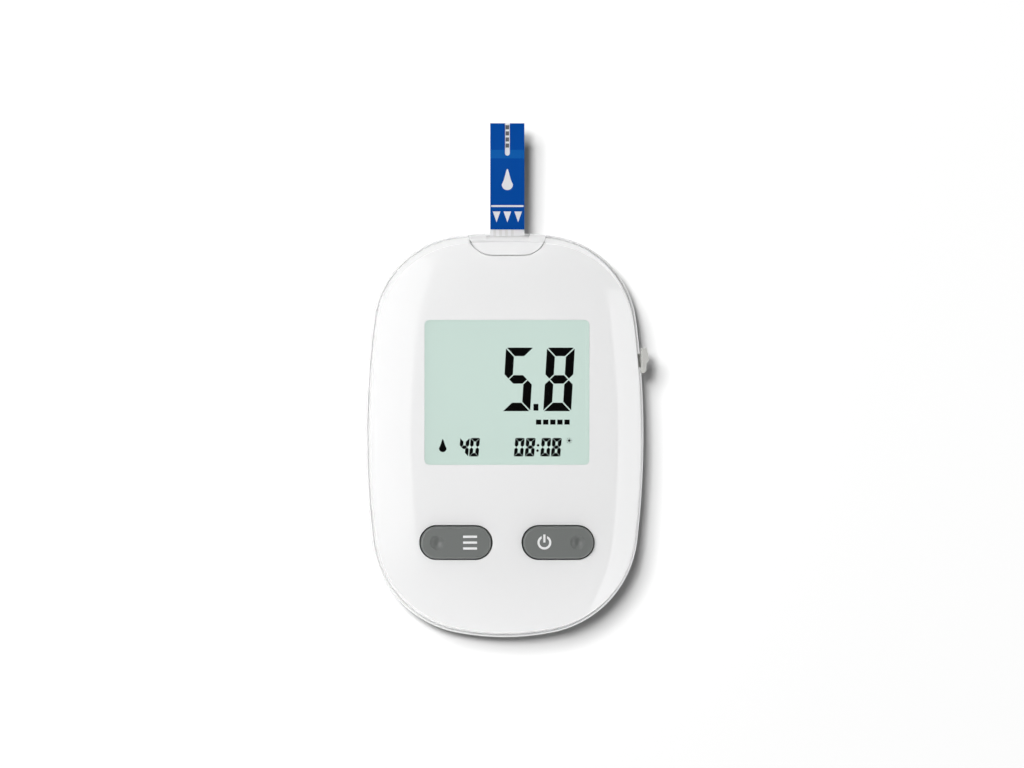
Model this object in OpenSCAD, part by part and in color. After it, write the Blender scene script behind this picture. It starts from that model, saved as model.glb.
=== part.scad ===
// A hand-held blood glucose meter with a test strip in its port, lying on its flat back.
// X runs to the right of the display, Y towards the strip port, Z out of the display.
// The origin is the middle of the flat back.

/* [Case] */
// Length of the case, from the port end to the foot end
case_l = 90; // [86:1:100]
// Width of the case at its middle
case_w = 62; // [60:1:70]
// Radius of the long side curves
side_r = 200; // [160:10:300]
// Radius of the curve across the port end
port_end_r = 90; // [70:5:120]
// Corner radius at the port end
port_corner_r = 21.5; // [20:0.5:23]
// Radius of the curve across the foot end
foot_end_r = 56; // [50:2:80]
// Corner radius at the foot end
foot_corner_r = 23.5; // [22:0.5:25]
// Wall thickness of both covers
wall = 1.6; // [1.4:0.1:1.8]
// Height of the joint between the two covers
part_z = 10; // [9:0.5:11]
// Width of the rear cover's rim that shows round the front cover
rim_w = 0.6; // [0.4:0.1:0.8]
// Broken edge along the top of the rim
rim_edge = 0.2; // [0.1:0.05:0.3]
// Depth of the shadow groove between the two covers
seam_in = 0.35; // [0.2:0.05:0.5]
// Height of the shadow groove
seam_h = 0.3; // [0.2:0.05:0.5]
// Width of the rounding round the back
back_round_w = 4; // [3:0.5:4.5]
// Height of the rounding round the back
back_round_h = 5; // [4:0.5:6]
// Height of the front cover's tongue inside the rear cover
tongue_h = 1.5; // [1:0.1:2]
// Clearance between pieces that are put together
fit = 0.1; // [0.05:0.01:0.15]

/* [Face] */
// Drop of the face from its flat middle to its edge
face_drop = 3.5; // [2.5:0.1:4]
// Width of the face's rolled edge
face_roll = 14; // [12:0.5:16]
// How far the edge of the face lies inside the outline along the sides
crease_in = 1; // [0.9:0.05:1.3]
// How much further in that edge lies at the port end
crease_port = 1; // [0.5:0.1:1.4]
// How much further in that edge lies at the foot end
crease_foot = 0.2; // [0:0.1:0.5]
// Broken edge round the face
crease_edge = 0.25; // [0.15:0.05:0.4]

/* [Display] */
// Distance from the window's side to the case's side
lens_side = 12.7; // [12.5:0.1:14]
// Height of the display window
lens_h = 32.1; // [30:0.1:32.6]
// Corner radius of the window
lens_corner = 1.1; // [0.6:0.1:2]
// Thickness of the window
lens_t = 1.3; // [1:0.1:1.6]
// How far the window lies below the face
lens_sink = 0.1; // [0.05:0.05:0.3]
// Width of the ledge under the window
ledge_w = 0.5; // [0.4:0.1:0.8]
// Thickness of the ledge under the window
ledge_t = 0.6; // [0.5:0.1:1]
// Width of the thick rib round the window
window_rib = 2; // [1.6:0.1:2.4]
// Thickness of the LCD panel
lcd_t = 2.2; // [1.8:0.1:2.6]
// How far the LCD panel reaches under the ledge
lcd_lap = 1; // [0.6:0.1:1.1]
// Air over the LCD panel
lcd_air = 0.2; // [0.1:0.05:0.4]
// Wall of the frame round the LCD panel
lcd_frame_t = 0.8; // [0.6:0.1:0.9]
// Height of the elastomer connectors under the LCD panel
zebra_h = 1.6; // [1.5:0.1:2]
// Width of an elastomer connector
zebra_w = 1.6; // [1.2:0.1:2]
// Distance from the LCD panel's edge to an elastomer connector
zebra_in = 0.6; // [0.4:0.1:1]

/* [Buttons] */
// Distance from a button's outer end to the case's side
button_side = 11.7; // [11.4:0.1:12.4]
// Distance from one button to the other
button_apart = 6.8; // [6:0.1:8]
// Width of a button
button_w = 7.4; // [7:0.1:8]
// Distance of the buttons' middle line from the foot end of the case
button_foot = 21.2; // [20.6:0.1:21.6]
// Gap round a button in the front cover
button_gap = 0.2; // [0.2:0.05:0.35]
// Height of a button over the middle of the face
button_rise = 0.6; // [0.5:0.1:1]
// Chamfer round the top of a button
button_edge = 0.4; // [0.2:0.1:0.5]
// Travel of a button
button_travel = 0.6; // [0.4:0.1:0.7]
// Width of the collar that holds a button in
collar_w = 0.9; // [0.7:0.1:1]
// Thickness of that collar
collar_t = 0.8; // [0.6:0.1:0.9]
// Width of the thick rib round a button hole
button_rib = 1.4; // [1.2:0.1:1.6]
// Diameter of the finger dimple in a button
dimple_d = 3.4; // [3:0.1:4]
// Depth of the finger dimple
dimple_depth = 0.4; // [0.2:0.05:0.5]
// Height of the icon on a button
icon_h = 3.1; // [2.6:0.1:3.6]
// Line width of the icons
icon_line = 0.5; // [0.4:0.05:0.6]
// Depth of the icon inlay
icon_t = 0.3; // [0.2:0.05:0.4]
// Distance of an icon from the middle of its button
icon_x = 3.1; // [2.6:0.1:3.4]
// Side of a switch base
switch_w = 6; // [5:0.5:7]
// Height of a switch base
switch_h = 1.6; // [1.4:0.1:1.8]
// Diameter of a switch plunger
plunger_d = 2.3; // [2:0.1:2.6]
// Running clearance round a switch plunger
plunger_fit = 0.05; // [0.03:0.01:0.08]

/* [Strip port] */
// Distance of the port's middle from the case's middle line
port_x = 0.3; // [-0.5:0.1:0.5]
// Width of the port cover
port_w = 17.2; // [16:0.2:18]
// Depth of the port cover from the end of the case
port_l = 5; // [4.8:0.1:5.2]
// Corner radius of the port cover
port_round = 5.2; // [4:0.1:5.5]
// Height of the underside of the port cover
port_floor_z = 12.5; // [12:0.1:13.5]
// Gap round the port cover
port_gap = 0.12; // [0.08:0.01:0.2]
// Height of the port cover's flat hood over its underside
hood_h = 4.7; // [4.5:0.1:4.8]
// Distance of the hood's end from the end of the case
hood_in = 0.1; // [0.1:0.1:0.3]
// Depth of the notch over the strip from the end of the case
notch_l = 1.6; // [1.2:0.1:1.8]
// Width of the bottom of the notch
notch_w = 8.9; // [8.6:0.1:9.4]
// Width of the mouth of the notch
notch_mouth_w = 10.4; // [10:0.1:11.5]
// Depth of the low lip over the strip, at the bottom of the notch
lip_l = 0.8; // [0.6:0.1:1]
// Thickness of that lip
lip_t = 0.4; // [0.3:0.05:0.45]
// Length of the strip connector
connector_l = 5; // [4.6:0.1:5.2]
// Width of the strip connector's side walls
connector_side = 1.5; // [1.2:0.1:2]
// Thickness of the strip connector's roof
connector_roof = 0.4; // [0.3:0.05:0.4]
// Number of contact springs
contact_count = 4; // [3:1:4]
// Distance from one contact spring to the next
contact_pitch = 1.3; // [1.1:0.1:1.4]
// Room for the contact springs over the strip
contact_room = 0.5; // [0.4:0.05:0.6]
// Width of a contact spring
contact_w = 0.6; // [0.4:0.1:0.8]
// Thickness of a contact spring
contact_t = 0.2; // [0.15:0.05:0.25]

/* [Test strip] */
// Length of the test strip
strip_l = 34.7; // [32:0.1:38]
// Width of the test strip
strip_w = 7.6; // [6.5:0.1:7.8]
// Thickness of the strip's base
strip_base_t = 0.4; // [0.3:0.05:0.45]
// Thickness of the strip's cover film
strip_film_t = 0.15; // [0.1:0.05:0.2]
// Length of the strip inside the port
strip_in = 8.8; // [8.4:0.1:9]
// Length of bare base outside the notch's bottom, up to the cover film
strip_bare = 2.3; // [1.8:0.1:3]
// Length of the sample channel at the tip
channel_l = 7.2; // [5:0.1:9]
// Width of the sample channel
channel_w = 1.1; // [0.8:0.1:1.5]
// Height of the strip over the board
strip_up = 0.7; // [0.6:0.05:0.8]

/* [Ejector] */
// Travel of the ejector slider
eject_travel = 5; // [4:0.5:5]
// Middle of the slider's thumb catch, towards the port from the window's middle
catch_up = 7.1; // [6.5:0.1:7.5]
// Length of the thumb catch
catch_l = 5.6; // [5:0.1:6]
// Height of the thumb catch
catch_h = 2.6; // [2.2:0.1:2.8]
// Reach of the thumb catch from the case's middle line, past half the case's width
catch_out = 0.8; // [0.6:0.1:1.2]
// Thickness of the slider's arm
arm_t = 0.7; // [0.6:0.05:0.8]
// Height of the arm over the board
arm_up = 0.6; // [0.5:0.05:0.7]
// Width of the arm
arm_w = 2; // [1.6:0.1:2]
// Gap between the arm and what it passes
arm_gap = 0.6; // [0.4:0.1:0.7]
// Width of the finger behind the strip
finger_w = 1.5; // [1.2:0.1:1.5]
// Width of the neck through the case's side
neck_w = 3; // [2.5:0.1:3.4]
// Clearance round the neck
neck_gap = 0.3; // [0.25:0.05:0.4]
// Distance from the window's frame to the slider's plate
plate_out = 6.3; // [6.1:0.1:6.5]
// Length of the slider's plate
slide_plate_l = 8; // [7.5:0.5:8]
// Distance from the arm to the middle of the return spring
spring_out = 1.9; // [1.7:0.1:2.1]
// Diameter of the return spring
spring_d = 1.6; // [1.2:0.1:1.7]
// Length of the return spring at rest
spring_l = 7; // [6.6:0.1:7.2]

/* [Board] */
// Thickness of the main board
board_t = 1; // [0.8:0.1:1.6]
// Distance from the outline to the board's edge
board_in = 5; // [4.8:0.1:5.5]
// Distance from the screw at the board's foot to the board's edge
board_edge = 3; // [2.5:0.1:3.2]
// Air between the battery room and the board
board_gap = 0.3; // [0.3:0.1:2]

/* [Batteries] */
// Diameter of a cell
cell_d = 10.5; // [10.1:0.1:10.5]
// Length of a cell with its nub
cell_l = 44.5; // [43.5:0.1:44.5]
// Diameter of a cell's nub
nub_d = 3.8; // [3.4:0.1:4]
// Length of a cell's nub
nub_l = 1; // [0.8:0.1:1.2]
// Clearance round the cells
cell_gap = 0.3; // [0.2:0.05:0.4]
// Room for the springs at one end of the cells
cell_spring_l = 3.4; // [3:0.1:3.6]
// Thickness of the contact plates
plate_t = 0.4; // [0.3:0.05:0.5]
// Width of a contact plate
plate_w = 8.5; // [7:0.1:9]
// Wall of the battery room
room_wall = 1; // [0.8:0.1:1.2]
// Edge of the battery room nearest the port, towards the foot from the case's middle
room_y = 3; // [2.8:0.1:3.2]
// Thickness of the battery door
door_t = 1.4; // [1.2:0.1:1.4]
// How far the door lies inside the flat back
door_sink = 0.2; // [0.1:0.05:0.3]
// How far the door reaches past the room at each end of the cells, less than the room itself
door_lip = 0.9; // [0.8:0.1:1]
// Gap round the door
door_gap = 0.2; // [0.15:0.05:0.3]
// Radius of the door's hinge pins
door_pin_r = 0.45; // [0.4:0.05:0.5]
// Running clearance round the hinge pins
door_pin_fit = 0.05; // [0.03:0.01:0.08]
// Length of a hinge pin
door_pin_l = 0.9; // [0.7:0.1:1]
// How far the door reaches past the room towards the foot
door_foot_lip = 1.3; // [1.2:0.1:1.6]
// Width of the fingernail notch
nail_w = 12; // [8:1:16]
// Radius of the fingernail notch
nail_r = 1.6; // [1.4:0.1:1.8]
// Height of the notch's middle below the flat back
nail_down = 0.6; // [0.5:0.1:0.8]

/* [Fasteners] */
// Distance from the outline to a case screw
screw_in = 5.4; // [5.2:0.1:5.6]
// Radius of a case screw
screw_r = 1; // [0.8:0.1:1.1]
// Radius of a case screw's head
screw_head_r = 1.8; // [1.6:0.1:1.9]
// Height of a case screw's head
screw_head_h = 1.6; // [1.2:0.1:1.8]
// Depth of the counterbore for the head
screw_sink = 3; // [2.6:0.1:3.4]
// Length of a case screw under its head
screw_l = 12.5; // [11:0.5:12.5]
// Radius of the posts for the case screws
post_r = 2.6; // [2.4:0.1:2.7]
// Radius of the bosses for the case screws
boss_r = 2.2; // [2:0.1:2.3]
// Radius of a board screw
board_screw_r = 0.8; // [0.7:0.05:0.9]
// Radius of a board screw's head
board_head_r = 1.6; // [1.4:0.1:1.7]
// Height of a board screw's head
board_head_h = 0.9; // [0.7:0.1:1]
// Length of a board screw in its boss
board_screw_l = 3; // [2.4:0.1:3]
// Radius of the bosses for the board screws
board_boss_r = 2; // [1.8:0.1:2.1]
// Distance from the window's frame to the bosses beside it
board_boss_gap = 0.8; // [0.6:0.1:1]
// Distance from the battery room to the boss at the board's foot
foot_boss_gap = 1.1; // [0.8:0.1:1.4]
// Depth of a pilot hole for a board screw
pilot_l = 3.2; // [3.1:0.1:3.6]

/* [Label] */
// Width of the label on the back
label_w = 38; // [30:1:40]
// Height of the label on the back
label_h = 25; // [20:1:26]
// Edge of the label nearest the case's middle
label_y = 6; // [5:0.5:7]
// Corner radius of the label's recess
label_corner = 2; // [1:0.5:3]
// Depth of the label's recess
label_recess = 0.25; // [0.2:0.05:0.3]
// Thickness of the label
label_t = 0.15; // [0.1:0.01:0.18]

/* [Hidden] */
$fn = 48;

// Steps along each curve of the case's outline, in one quarter of it
side_steps = 4;
corner_steps = 8;
end_steps = 5;
// Shares of the rolled edge at which the face has a ring, outside and inside
roll_shares = [0.08, 0.18, 0.3, 0.45, 0.62, 0.8, 1];
inner_shares = [0.1, 0.2, 0.35, 0.55, 0.75, 1];
// A cut runs this far past what it cuts
past = 1;

// Heights, built up from the back
cell_z = door_sink + door_t + cell_gap + cell_d/2;
room_z = cell_z + cell_d/2 + cell_gap;
board_z = room_z + room_wall + board_gap;
board_top = board_z + board_t;
lcd_z = board_top + zebra_h;
lcd_top = lcd_z + lcd_t;
ledge_z = lcd_top + lcd_air;
lens_z = ledge_z + ledge_t;
case_t = lens_z + lens_t + lens_sink;
crease_z = case_t - face_drop;

// Strip and port
notch_y = case_l/2 - notch_l;
lip_y = notch_y + lip_l;
port_y = case_l/2 - port_l;
strip_end_y = notch_y - strip_in;
strip_tip_y = strip_end_y + strip_l;
strip_z = board_top + strip_up;
strip_film_y = notch_y + strip_bare;
slot_gap = 0.25;
slot_floor_z = strip_z - slot_gap;
slot_roof_z = strip_z + strip_base_t + strip_film_t + slot_gap;
connector_y = port_y - 1.5*fit - connector_l;
connector_roof_z = strip_z + strip_base_t + contact_room;
electrode_t = 0.04;

// Ejector's bar behind the strip, and the display under it
arm_z = board_top + arm_up;
arm_mid_z = arm_z + arm_t/2;
bar_y = connector_y - neck_gap - eject_travel - arm_w;
lens_w = case_w - 2*lens_side;
window_w = lens_w - 2*ledge_w;
window_h = lens_h - 2*ledge_w;
lcd_w = window_w + 2*lcd_lap;
lcd_h = window_h + 2*lcd_lap;
frame_w = lcd_w + 2*fit + 2*lcd_frame_t;
frame_h = lcd_h + 2*fit + 2*lcd_frame_t;
frame_top = lcd_z + 0.6*lcd_t;
lens_y = bar_y - arm_gap - frame_h/2;

// Ejector's arm, plate, finger and spring
rail_x = frame_w/2 + arm_gap;
slide_plate_x = frame_w/2 + plate_out;
catch_y = lens_y + catch_up;
catch_past = 0.6;
slide_plate_y = catch_y + catch_l/2 + catch_past - slide_plate_l;
finger_x = port_x + strip_w/2 - fit - finger_w;
spring_x = rail_x + arm_w + spring_out;
spring_y = slide_plate_y + slide_plate_l;
spring_rib_l = 1;

// Buttons
button_l = case_w/2 - button_side - button_apart/2;
button_x = (button_apart + button_l)/2;
button_y = case_l/2 - button_foot;
collar_end_x = button_x + button_l/2 + collar_w;
button_seat_z = case_t - wall - face_dip(half_width(button_y) - crease_in - collar_end_x) - 2*fit;
collar_z = button_seat_z - fit - collar_t;
switch_top = board_top + switch_h;
plunger_top = switch_top + button_travel + 2*fit;
switch_floor = 0.2;

// Battery room and door
room_l = cell_l + cell_spring_l + 2*plate_t + fit;
room_w = 2*cell_d + 3*cell_gap;
door_w = room_l - 2*door_lip;
door_hinge_y = -room_y - fit;
door_hinge_z = door_sink + door_t/2;
door_foot_y = -room_y - room_w - door_foot_lip;
cell_x = fit/2 + cell_spring_l/2;

// Fasteners, on the case's corner arcs
screw_angle_port = 65;
screw_angle_foot = 52;
board_screw_x = frame_w/2 + board_boss_r + board_boss_gap;
board_screw_y = room_y + room_w + room_wall + board_boss_r + foot_boss_gap;
board_screw_at = [
    [-board_screw_x, lens_y + 0.3*frame_h],
    [board_screw_x, lens_y - 0.16*frame_h],
    [0, -board_screw_y]
];
board_foot = board_screw_y + board_edge;

// The case's outline: side, corner and end arcs that run into each other without a kink
function side_centre() = [case_w/2 - side_r, 0];
function end_centre(end_r) = [0, case_l/2 - end_r];
function corner_centre(end_r, corner_r) =
    let (
        to_side = side_centre() - end_centre(end_r),
        apart = norm(to_side),
        towards = to_side/apart,
        end_reach = end_r - corner_r,
        side_reach = side_r - corner_r,
        along = (end_reach^2 - side_reach^2 + apart^2)/(2*apart),
        across = sqrt(end_reach^2 - along^2)
    )
    end_centre(end_r) + along*towards + across*[towards[1], -towards[0]];
function arc_point(centre, r, angle, inset, end_extra) =
    centre + (r - inset - end_extra*sin(angle)^2)*[cos(angle), sin(angle)];
function quarter(end_r, corner_r, inset, end_extra) =
    let (
        corner = corner_centre(end_r, corner_r),
        from_side = corner - side_centre(),
        from_end = corner - end_centre(end_r),
        a1 = atan2(from_side[1], from_side[0]),
        a2 = atan2(from_end[1], from_end[0])
    )
    concat(
        [for (i = [0:side_steps - 1])
            arc_point(side_centre(), side_r, a1*i/side_steps, inset, end_extra)],
        [for (i = [0:corner_steps - 1])
            arc_point(corner, corner_r, a1 + (a2 - a1)*i/corner_steps, inset, end_extra)],
        [for (i = [0:end_steps])
            arc_point(end_centre(end_r), end_r, a2 + (90 - a2)*i/end_steps, inset, end_extra)]
    );
function outline(inset, port_extra = 0, foot_extra = 0) =
    let (
        port = quarter(port_end_r, port_corner_r, inset, port_extra),
        foot = quarter(foot_end_r, foot_corner_r, inset, foot_extra),
        n = len(port) - 1
    )
    concat(
        [for (i = [0:n - 1]) port[i]],
        [for (i = [n:-1:1]) [-port[i][0], port[i][1]]],
        [for (i = [0:n - 1]) -foot[i]],
        [for (i = [n:-1:1]) [foot[i][0], -foot[i][1]]]
    );
// Half the case's width at a distance from its middle towards the foot
function half_width(y) =
    let (corner = corner_centre(foot_end_r, foot_corner_r))
    y > corner[1]
        ? corner[0] + sqrt(foot_corner_r^2 - (y - corner[1])^2)
        : case_w/2 - side_r + sqrt(side_r^2 - y^2);
// How far the face lies below its middle, at a distance in from its edge
function face_dip(t) = t > face_roll ? 0 : face_drop*(1 - t/face_roll)^2;
// The face's slope at a share of its rolled edge, and the height of its underside there
function face_slope(share) = atan(2*face_drop/face_roll*(1 - share));
function under_face_z(share) =
    case_t - face_dip(share*face_roll) - wall*cos(face_slope(share));
function screw_place(end_r, corner_r, angle) =
    corner_centre(end_r, corner_r) + (corner_r - screw_in)*[cos(angle), sin(angle)];
case_screw_at = [
    for (side = [-1, 1]) each [
        let (p = screw_place(port_end_r, port_corner_r, screw_angle_port)) [side*p[0], p[1]],
        let (p = screw_place(foot_end_r, foot_corner_r, screw_angle_foot)) [side*p[0], -p[1]]
    ]
];

// Rings of the covers, each [height, inset, more inset at the port, more at the foot]
front_rings = concat(
    [
        [part_z, rim_w + seam_in, 0, 0],
        [part_z + seam_h, rim_w + seam_in, 0, 0],
        [part_z + seam_h, rim_w, 0, 0],
        [crease_z - crease_edge, crease_in - crease_edge/4, crease_port, crease_foot],
        [case_t - face_dip(crease_edge), crease_in + crease_edge, crease_port, crease_foot]
    ],
    [for (s = roll_shares)
        [case_t - face_dip(s*face_roll), crease_in + s*face_roll, crease_port, crease_foot]]
);
front_cavity_rings = concat(
    [
        [part_z - past, rim_w + wall, 0, 0],
        [part_z, rim_w + wall, 0, 0],
        [under_face_z(inner_shares[0]) - wall/8, crease_in + wall, crease_port, crease_foot]
    ],
    [for (s = inner_shares)
        [
            under_face_z(s),
            crease_in + s*face_roll + wall*sin(face_slope(s)),
            crease_port,
            crease_foot
        ]]
);
rear_rings = concat(
    [for (a = [0:15:75]) [back_round_h*(1 - cos(a)), back_round_w*(1 - sin(a)), 0, 0]],
    [
        [back_round_h, 0, 0, 0],
        [part_z - rim_edge, 0, 0, 0],
        [part_z, rim_edge, 0, 0]
    ]
);
rear_cavity_rings = concat(
    [for (a = [0:30:60])
        [wall + back_round_h*(1 - cos(a))*0.8, wall + back_round_w*(1 - sin(a)), 0, 0]],
    [
        [wall + back_round_h*0.8, wall, 0, 0],
        [part_z + past, wall, 0, 0]
    ]
);

// A closed solid through rings of the outline
module loft(rings) {
    loops = [for (r = rings) [for (p = outline(r[1], r[2], r[3])) [p[0], p[1], r[0]]]];
    n = len(loops[0]);
    last = (len(loops) - 1)*n;
    polyhedron(
        points = [for (loop = loops) each loop],
        faces = concat(
            [[for (i = [0:n - 1]) i]],
            [for (k = [0:n:last - n]) for (i = [0:n - 1])
                let (j = (i + 1) % n) each [[k + i, k + n + i, k + n + j], [k + i, k + n + j, k + j]]],
            [[for (i = [n - 1:-1:0]) last + i]]
        )
    );
}

module rounded_rect(w, h, r) {
    square([w - 2*r, h], center = true);
    square([w, h - 2*r], center = true);
    for (x = [-1, 1])
        for (y = [-1, 1])
            translate([x*(w/2 - r), y*(h/2 - r)])
                circle(r);
}

module rounded_plate(w, h, r, t) {
    linear_extrude(t)
        rounded_rect(w, h, r);
}

module stadium(l, w) {
    square([l - w, w], center = true);
    for (x = [-1, 1])
        translate([x*(l - w)/2, 0])
            circle(d = w);
}

module box(w, d, h) {
    translate([-w/2, -d/2, 0])
        cube([w, d, h]);
}

module at_screws(places) {
    for (p = places)
        translate([p[0], p[1], 0])
            children();
}

module at_buttons() {
    for (side = [-1, 1])
        translate([side*button_x, -button_y, 0])
            children();
}

// The port cover's plan, grown by a gap
module port_plan(grow) {
    w = port_w + 2*grow;
    r = port_round + grow;
    translate([port_x, port_y - grow]) {
        translate([-w/2, r])
            square([w, port_l + past]);
        translate([-w/2 + r, 0])
            square([w - 2*r, r + past]);
        for (x = [-1, 1])
            translate([x*(w/2 - r), r])
                circle(r);
    }
}

// Case

module front_fixings() {
    translate([0, lens_y, ledge_z])
        rounded_plate(lens_w + 2*window_rib, lens_h + 2*window_rib, lens_corner + window_rib, case_t);
    at_buttons()
        translate([0, 0, button_seat_z])
            linear_extrude(case_t)
                stadium(button_l + 2*button_rib, button_w + 2*button_rib);
    at_screws(case_screw_at)
        translate([0, 0, part_z - past])
            cylinder(r = boss_r, h = case_t);
    at_screws(board_screw_at)
        translate([0, 0, board_top])
            cylinder(r = board_boss_r, h = case_t);
    translate([spring_x, spring_y + spring_l + spring_rib_l/2, board_top + 2*fit])
        box(spring_d + 0.6, spring_rib_l, case_t);
}

module front_openings() {
    translate([0, lens_y, 0]) {
        translate([0, 0, lens_z])
            rounded_plate(lens_w + fit, lens_h + fit, lens_corner + fit/2, case_t);
        translate([0, 0, ledge_z - past])
            rounded_plate(window_w, window_h, lens_corner, case_t);
    }
    at_buttons()
        translate([0, 0, part_z])
            linear_extrude(case_t)
                stadium(button_l + 2*button_gap, button_w + 2*button_gap);
    translate([0, 0, port_floor_z - port_gap])
        linear_extrude(case_t)
            port_plan(port_gap);
    translate([slide_plate_x, catch_y - neck_w/2 - neck_gap, arm_z - neck_gap])
        cube([case_w/2, neck_w + eject_travel + 2*neck_gap, arm_t + 2*neck_gap]);
    at_screws(case_screw_at)
        translate([0, 0, part_z - 2*past])
            cylinder(r = screw_r, h = screw_sink + screw_l - part_z + 2*past + 0.5);
    at_screws(board_screw_at)
        translate([0, 0, board_top - past])
            cylinder(r = board_screw_r, h = pilot_l + past);
}

module front_cover() {
    color("white")
        difference() {
            loft(front_rings);
            difference() {
                loft(front_cavity_rings);
                front_fixings();
            }
            front_openings();
        }
    color("white")
        translate([0, 0, part_z - tongue_h])
            linear_extrude(tongue_h)
                difference() {
                    polygon(outline(wall + fit/2));
                    polygon(outline(rim_w + wall));
                }
}

module rear_posts() {
    intersection() {
        loft(rear_rings);
        at_screws(case_screw_at)
            cylinder(r = post_r, h = part_z);
    }
}

module battery_room() {
    translate([0, -room_y - room_w/2, 0])
        box(room_l + 2*room_wall, room_w + 2*room_wall, room_z + room_wall);
}

module rear_cover() {
    door_l = door_hinge_y + door_t/2 - door_foot_y;
    color("whitesmoke")
        difference() {
            union() {
                difference() {
                    loft(rear_rings);
                    loft(rear_cavity_rings);
                }
                rear_posts();
                battery_room();
            }
            translate([0, -room_y - room_w/2, door_sink + door_t + fit])
                box(room_l, room_w, room_z - door_sink - door_t - fit);
            translate([0, door_foot_y + door_l/2, -past])
                box(door_w + 2*door_gap, door_l + 2*door_gap, door_sink + door_t + fit + past);
            translate([-door_w/2 - door_pin_l - door_gap, door_hinge_y, door_hinge_z])
                rotate([0, 90, 0])
                    cylinder(r = door_pin_r + door_pin_fit, h = door_w + 2*door_pin_l + 2*door_gap);
            at_screws(case_screw_at) {
                translate([0, 0, -past])
                    cylinder(r = screw_r + fit, h = part_z + 2*past);
                translate([0, 0, -past])
                    cylinder(r = screw_head_r + fit, h = screw_sink + past);
            }
            translate([0, label_y + label_h/2, -past])
                rounded_plate(label_w, label_h, label_corner, label_recess + past);
            nail_notch();
        }
}

// A flat block out to the rounded end of the case, wider than the port cover
module hood() {
    translate([0, 0, port_floor_z])
        linear_extrude(hood_h)
            intersection() {
                translate([0, case_l/2 - port_end_r])
                    circle(r = port_end_r - hood_in);
                translate([port_x - port_w/2 - past, port_y])
                    square([port_w + 2*past, port_l]);
            }
}

// The notch's flared sides, from a place along the case out past its end, and up from z
module notch(y, z) {
    w = notch_w + (notch_mouth_w - notch_w)*(y - notch_y)/notch_l;
    translate([port_x, 0, z])
        linear_extrude(case_t)
            polygon([
                [-w/2, y],
                [w/2, y],
                [notch_mouth_w/2, case_l/2],
                [notch_mouth_w/2, case_l/2 + past],
                [-notch_mouth_w/2, case_l/2 + past],
                [-notch_mouth_w/2, case_l/2]
            ]);
}

module port_cover() {
    color("white")
        difference() {
            intersection() {
                union() {
                    loft(front_rings);
                    hood();
                }
                translate([0, 0, port_floor_z])
                    linear_extrude(case_t)
                        port_plan(0);
            }
            translate([port_x, port_y + port_l/2, slot_floor_z])
                box(strip_w + 2*slot_gap, port_l + 2*past, slot_roof_z - slot_floor_z);
            notch(notch_y, slot_roof_z + lip_t);
            notch(lip_y, port_floor_z - past);
        }
}

module window_lens() {
    color("azure", 0.4)
        translate([0, lens_y, lens_z])
            rounded_plate(lens_w, lens_h, lens_corner, lens_t);
}

module case_screws() {
    color("silver")
        at_screws(case_screw_at)
            difference() {
                union() {
                    translate([0, 0, screw_sink - screw_head_h])
                        cylinder(r = screw_head_r, h = screw_head_h);
                    translate([0, 0, screw_sink])
                        cylinder(r = screw_r, h = screw_l);
                }
                for (turn = [0, 90])
                    translate([0, 0, screw_sink - screw_head_h - past])
                        rotate(turn)
                            box(screw_head_r*1.2, screw_head_r*0.3, past + screw_head_h/2);
            }
}

module rating_label() {
    color("gainsboro")
        translate([0, label_y + label_h/2, label_recess - label_t])
            rounded_plate(label_w - 2*fit, label_h - 2*fit, label_corner - fit, label_t);
}

// Display and board

module lcd_panel() {
    color("lightcyan")
        translate([0, lens_y, lcd_z])
            box(lcd_w, lcd_h, lcd_t);
}

module lcd_frame() {
    color("white")
        translate([0, lens_y, board_top])
            difference() {
                box(frame_w, frame_h, frame_top - board_top);
                translate([0, 0, -past])
                    box(lcd_w + 2*fit, lcd_h + 2*fit, frame_top - board_top + 2*past);
            }
}

module zebra_connectors() {
    color("dimgray")
        for (side = [-1, 1])
            translate([0, lens_y + side*(lcd_h/2 - zebra_in - zebra_w/2), board_top])
                box(lcd_w - 2*zebra_in, zebra_w, zebra_h);
}

module main_board() {
    color("seagreen")
        difference() {
            translate([0, 0, board_z])
                linear_extrude(board_t)
                    intersection() {
                        polygon(outline(board_in));
                        translate([-case_w/2, -board_foot])
                            square([case_w, board_foot + port_y - 2*fit]);
                    }
            at_screws(case_screw_at)
                translate([0, 0, board_z - past])
                    cylinder(r = boss_r + 3*fit, h = board_t + 2*past);
            at_screws(board_screw_at)
                translate([0, 0, board_z - past])
                    cylinder(r = board_screw_r + fit, h = board_t + 2*past);
        }
}

module processor() {
    chip_w = 10;
    color("black")
        translate([0, lens_y, board_top])
            box(chip_w, chip_w, 1);
}

module measuring_chip() {
    chip_w = 5;
    chip_gap = 1.7;
    color("black")
        translate([-frame_w/3, lens_y + frame_h/2 + chip_gap + chip_w/2, board_top])
            box(chip_w, chip_w, 0.9);
}

module crystal() {
    can_l = 6;
    can_w = 2.4;
    can_gap = 0.8;
    color("silver")
        translate([-frame_w/3, lens_y - frame_h/2 - can_gap - can_w/2, board_top])
            rounded_plate(can_l, can_w, 1.1, 1.3);
}

module buzzer() {
    can_d = 9;
    can_h = 2.2;
    can_gap = 1.1;
    hole_d = 1.6;
    hole_l = 0.6;
    color("black")
        translate([0, lens_y - frame_h/2 - can_gap - can_d/2, board_top])
            difference() {
                cylinder(d = can_d, h = can_h);
                translate([0, 0, can_h - hole_l])
                    cylinder(d = hole_d, h = past);
            }
}

module board_screws() {
    color("silver")
        at_screws(board_screw_at) {
            translate([0, 0, board_z - board_head_h])
                cylinder(r = board_head_r, h = board_head_h);
            translate([0, 0, board_z])
                cylinder(r = board_screw_r, h = board_t + board_screw_l);
        }
}

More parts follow.
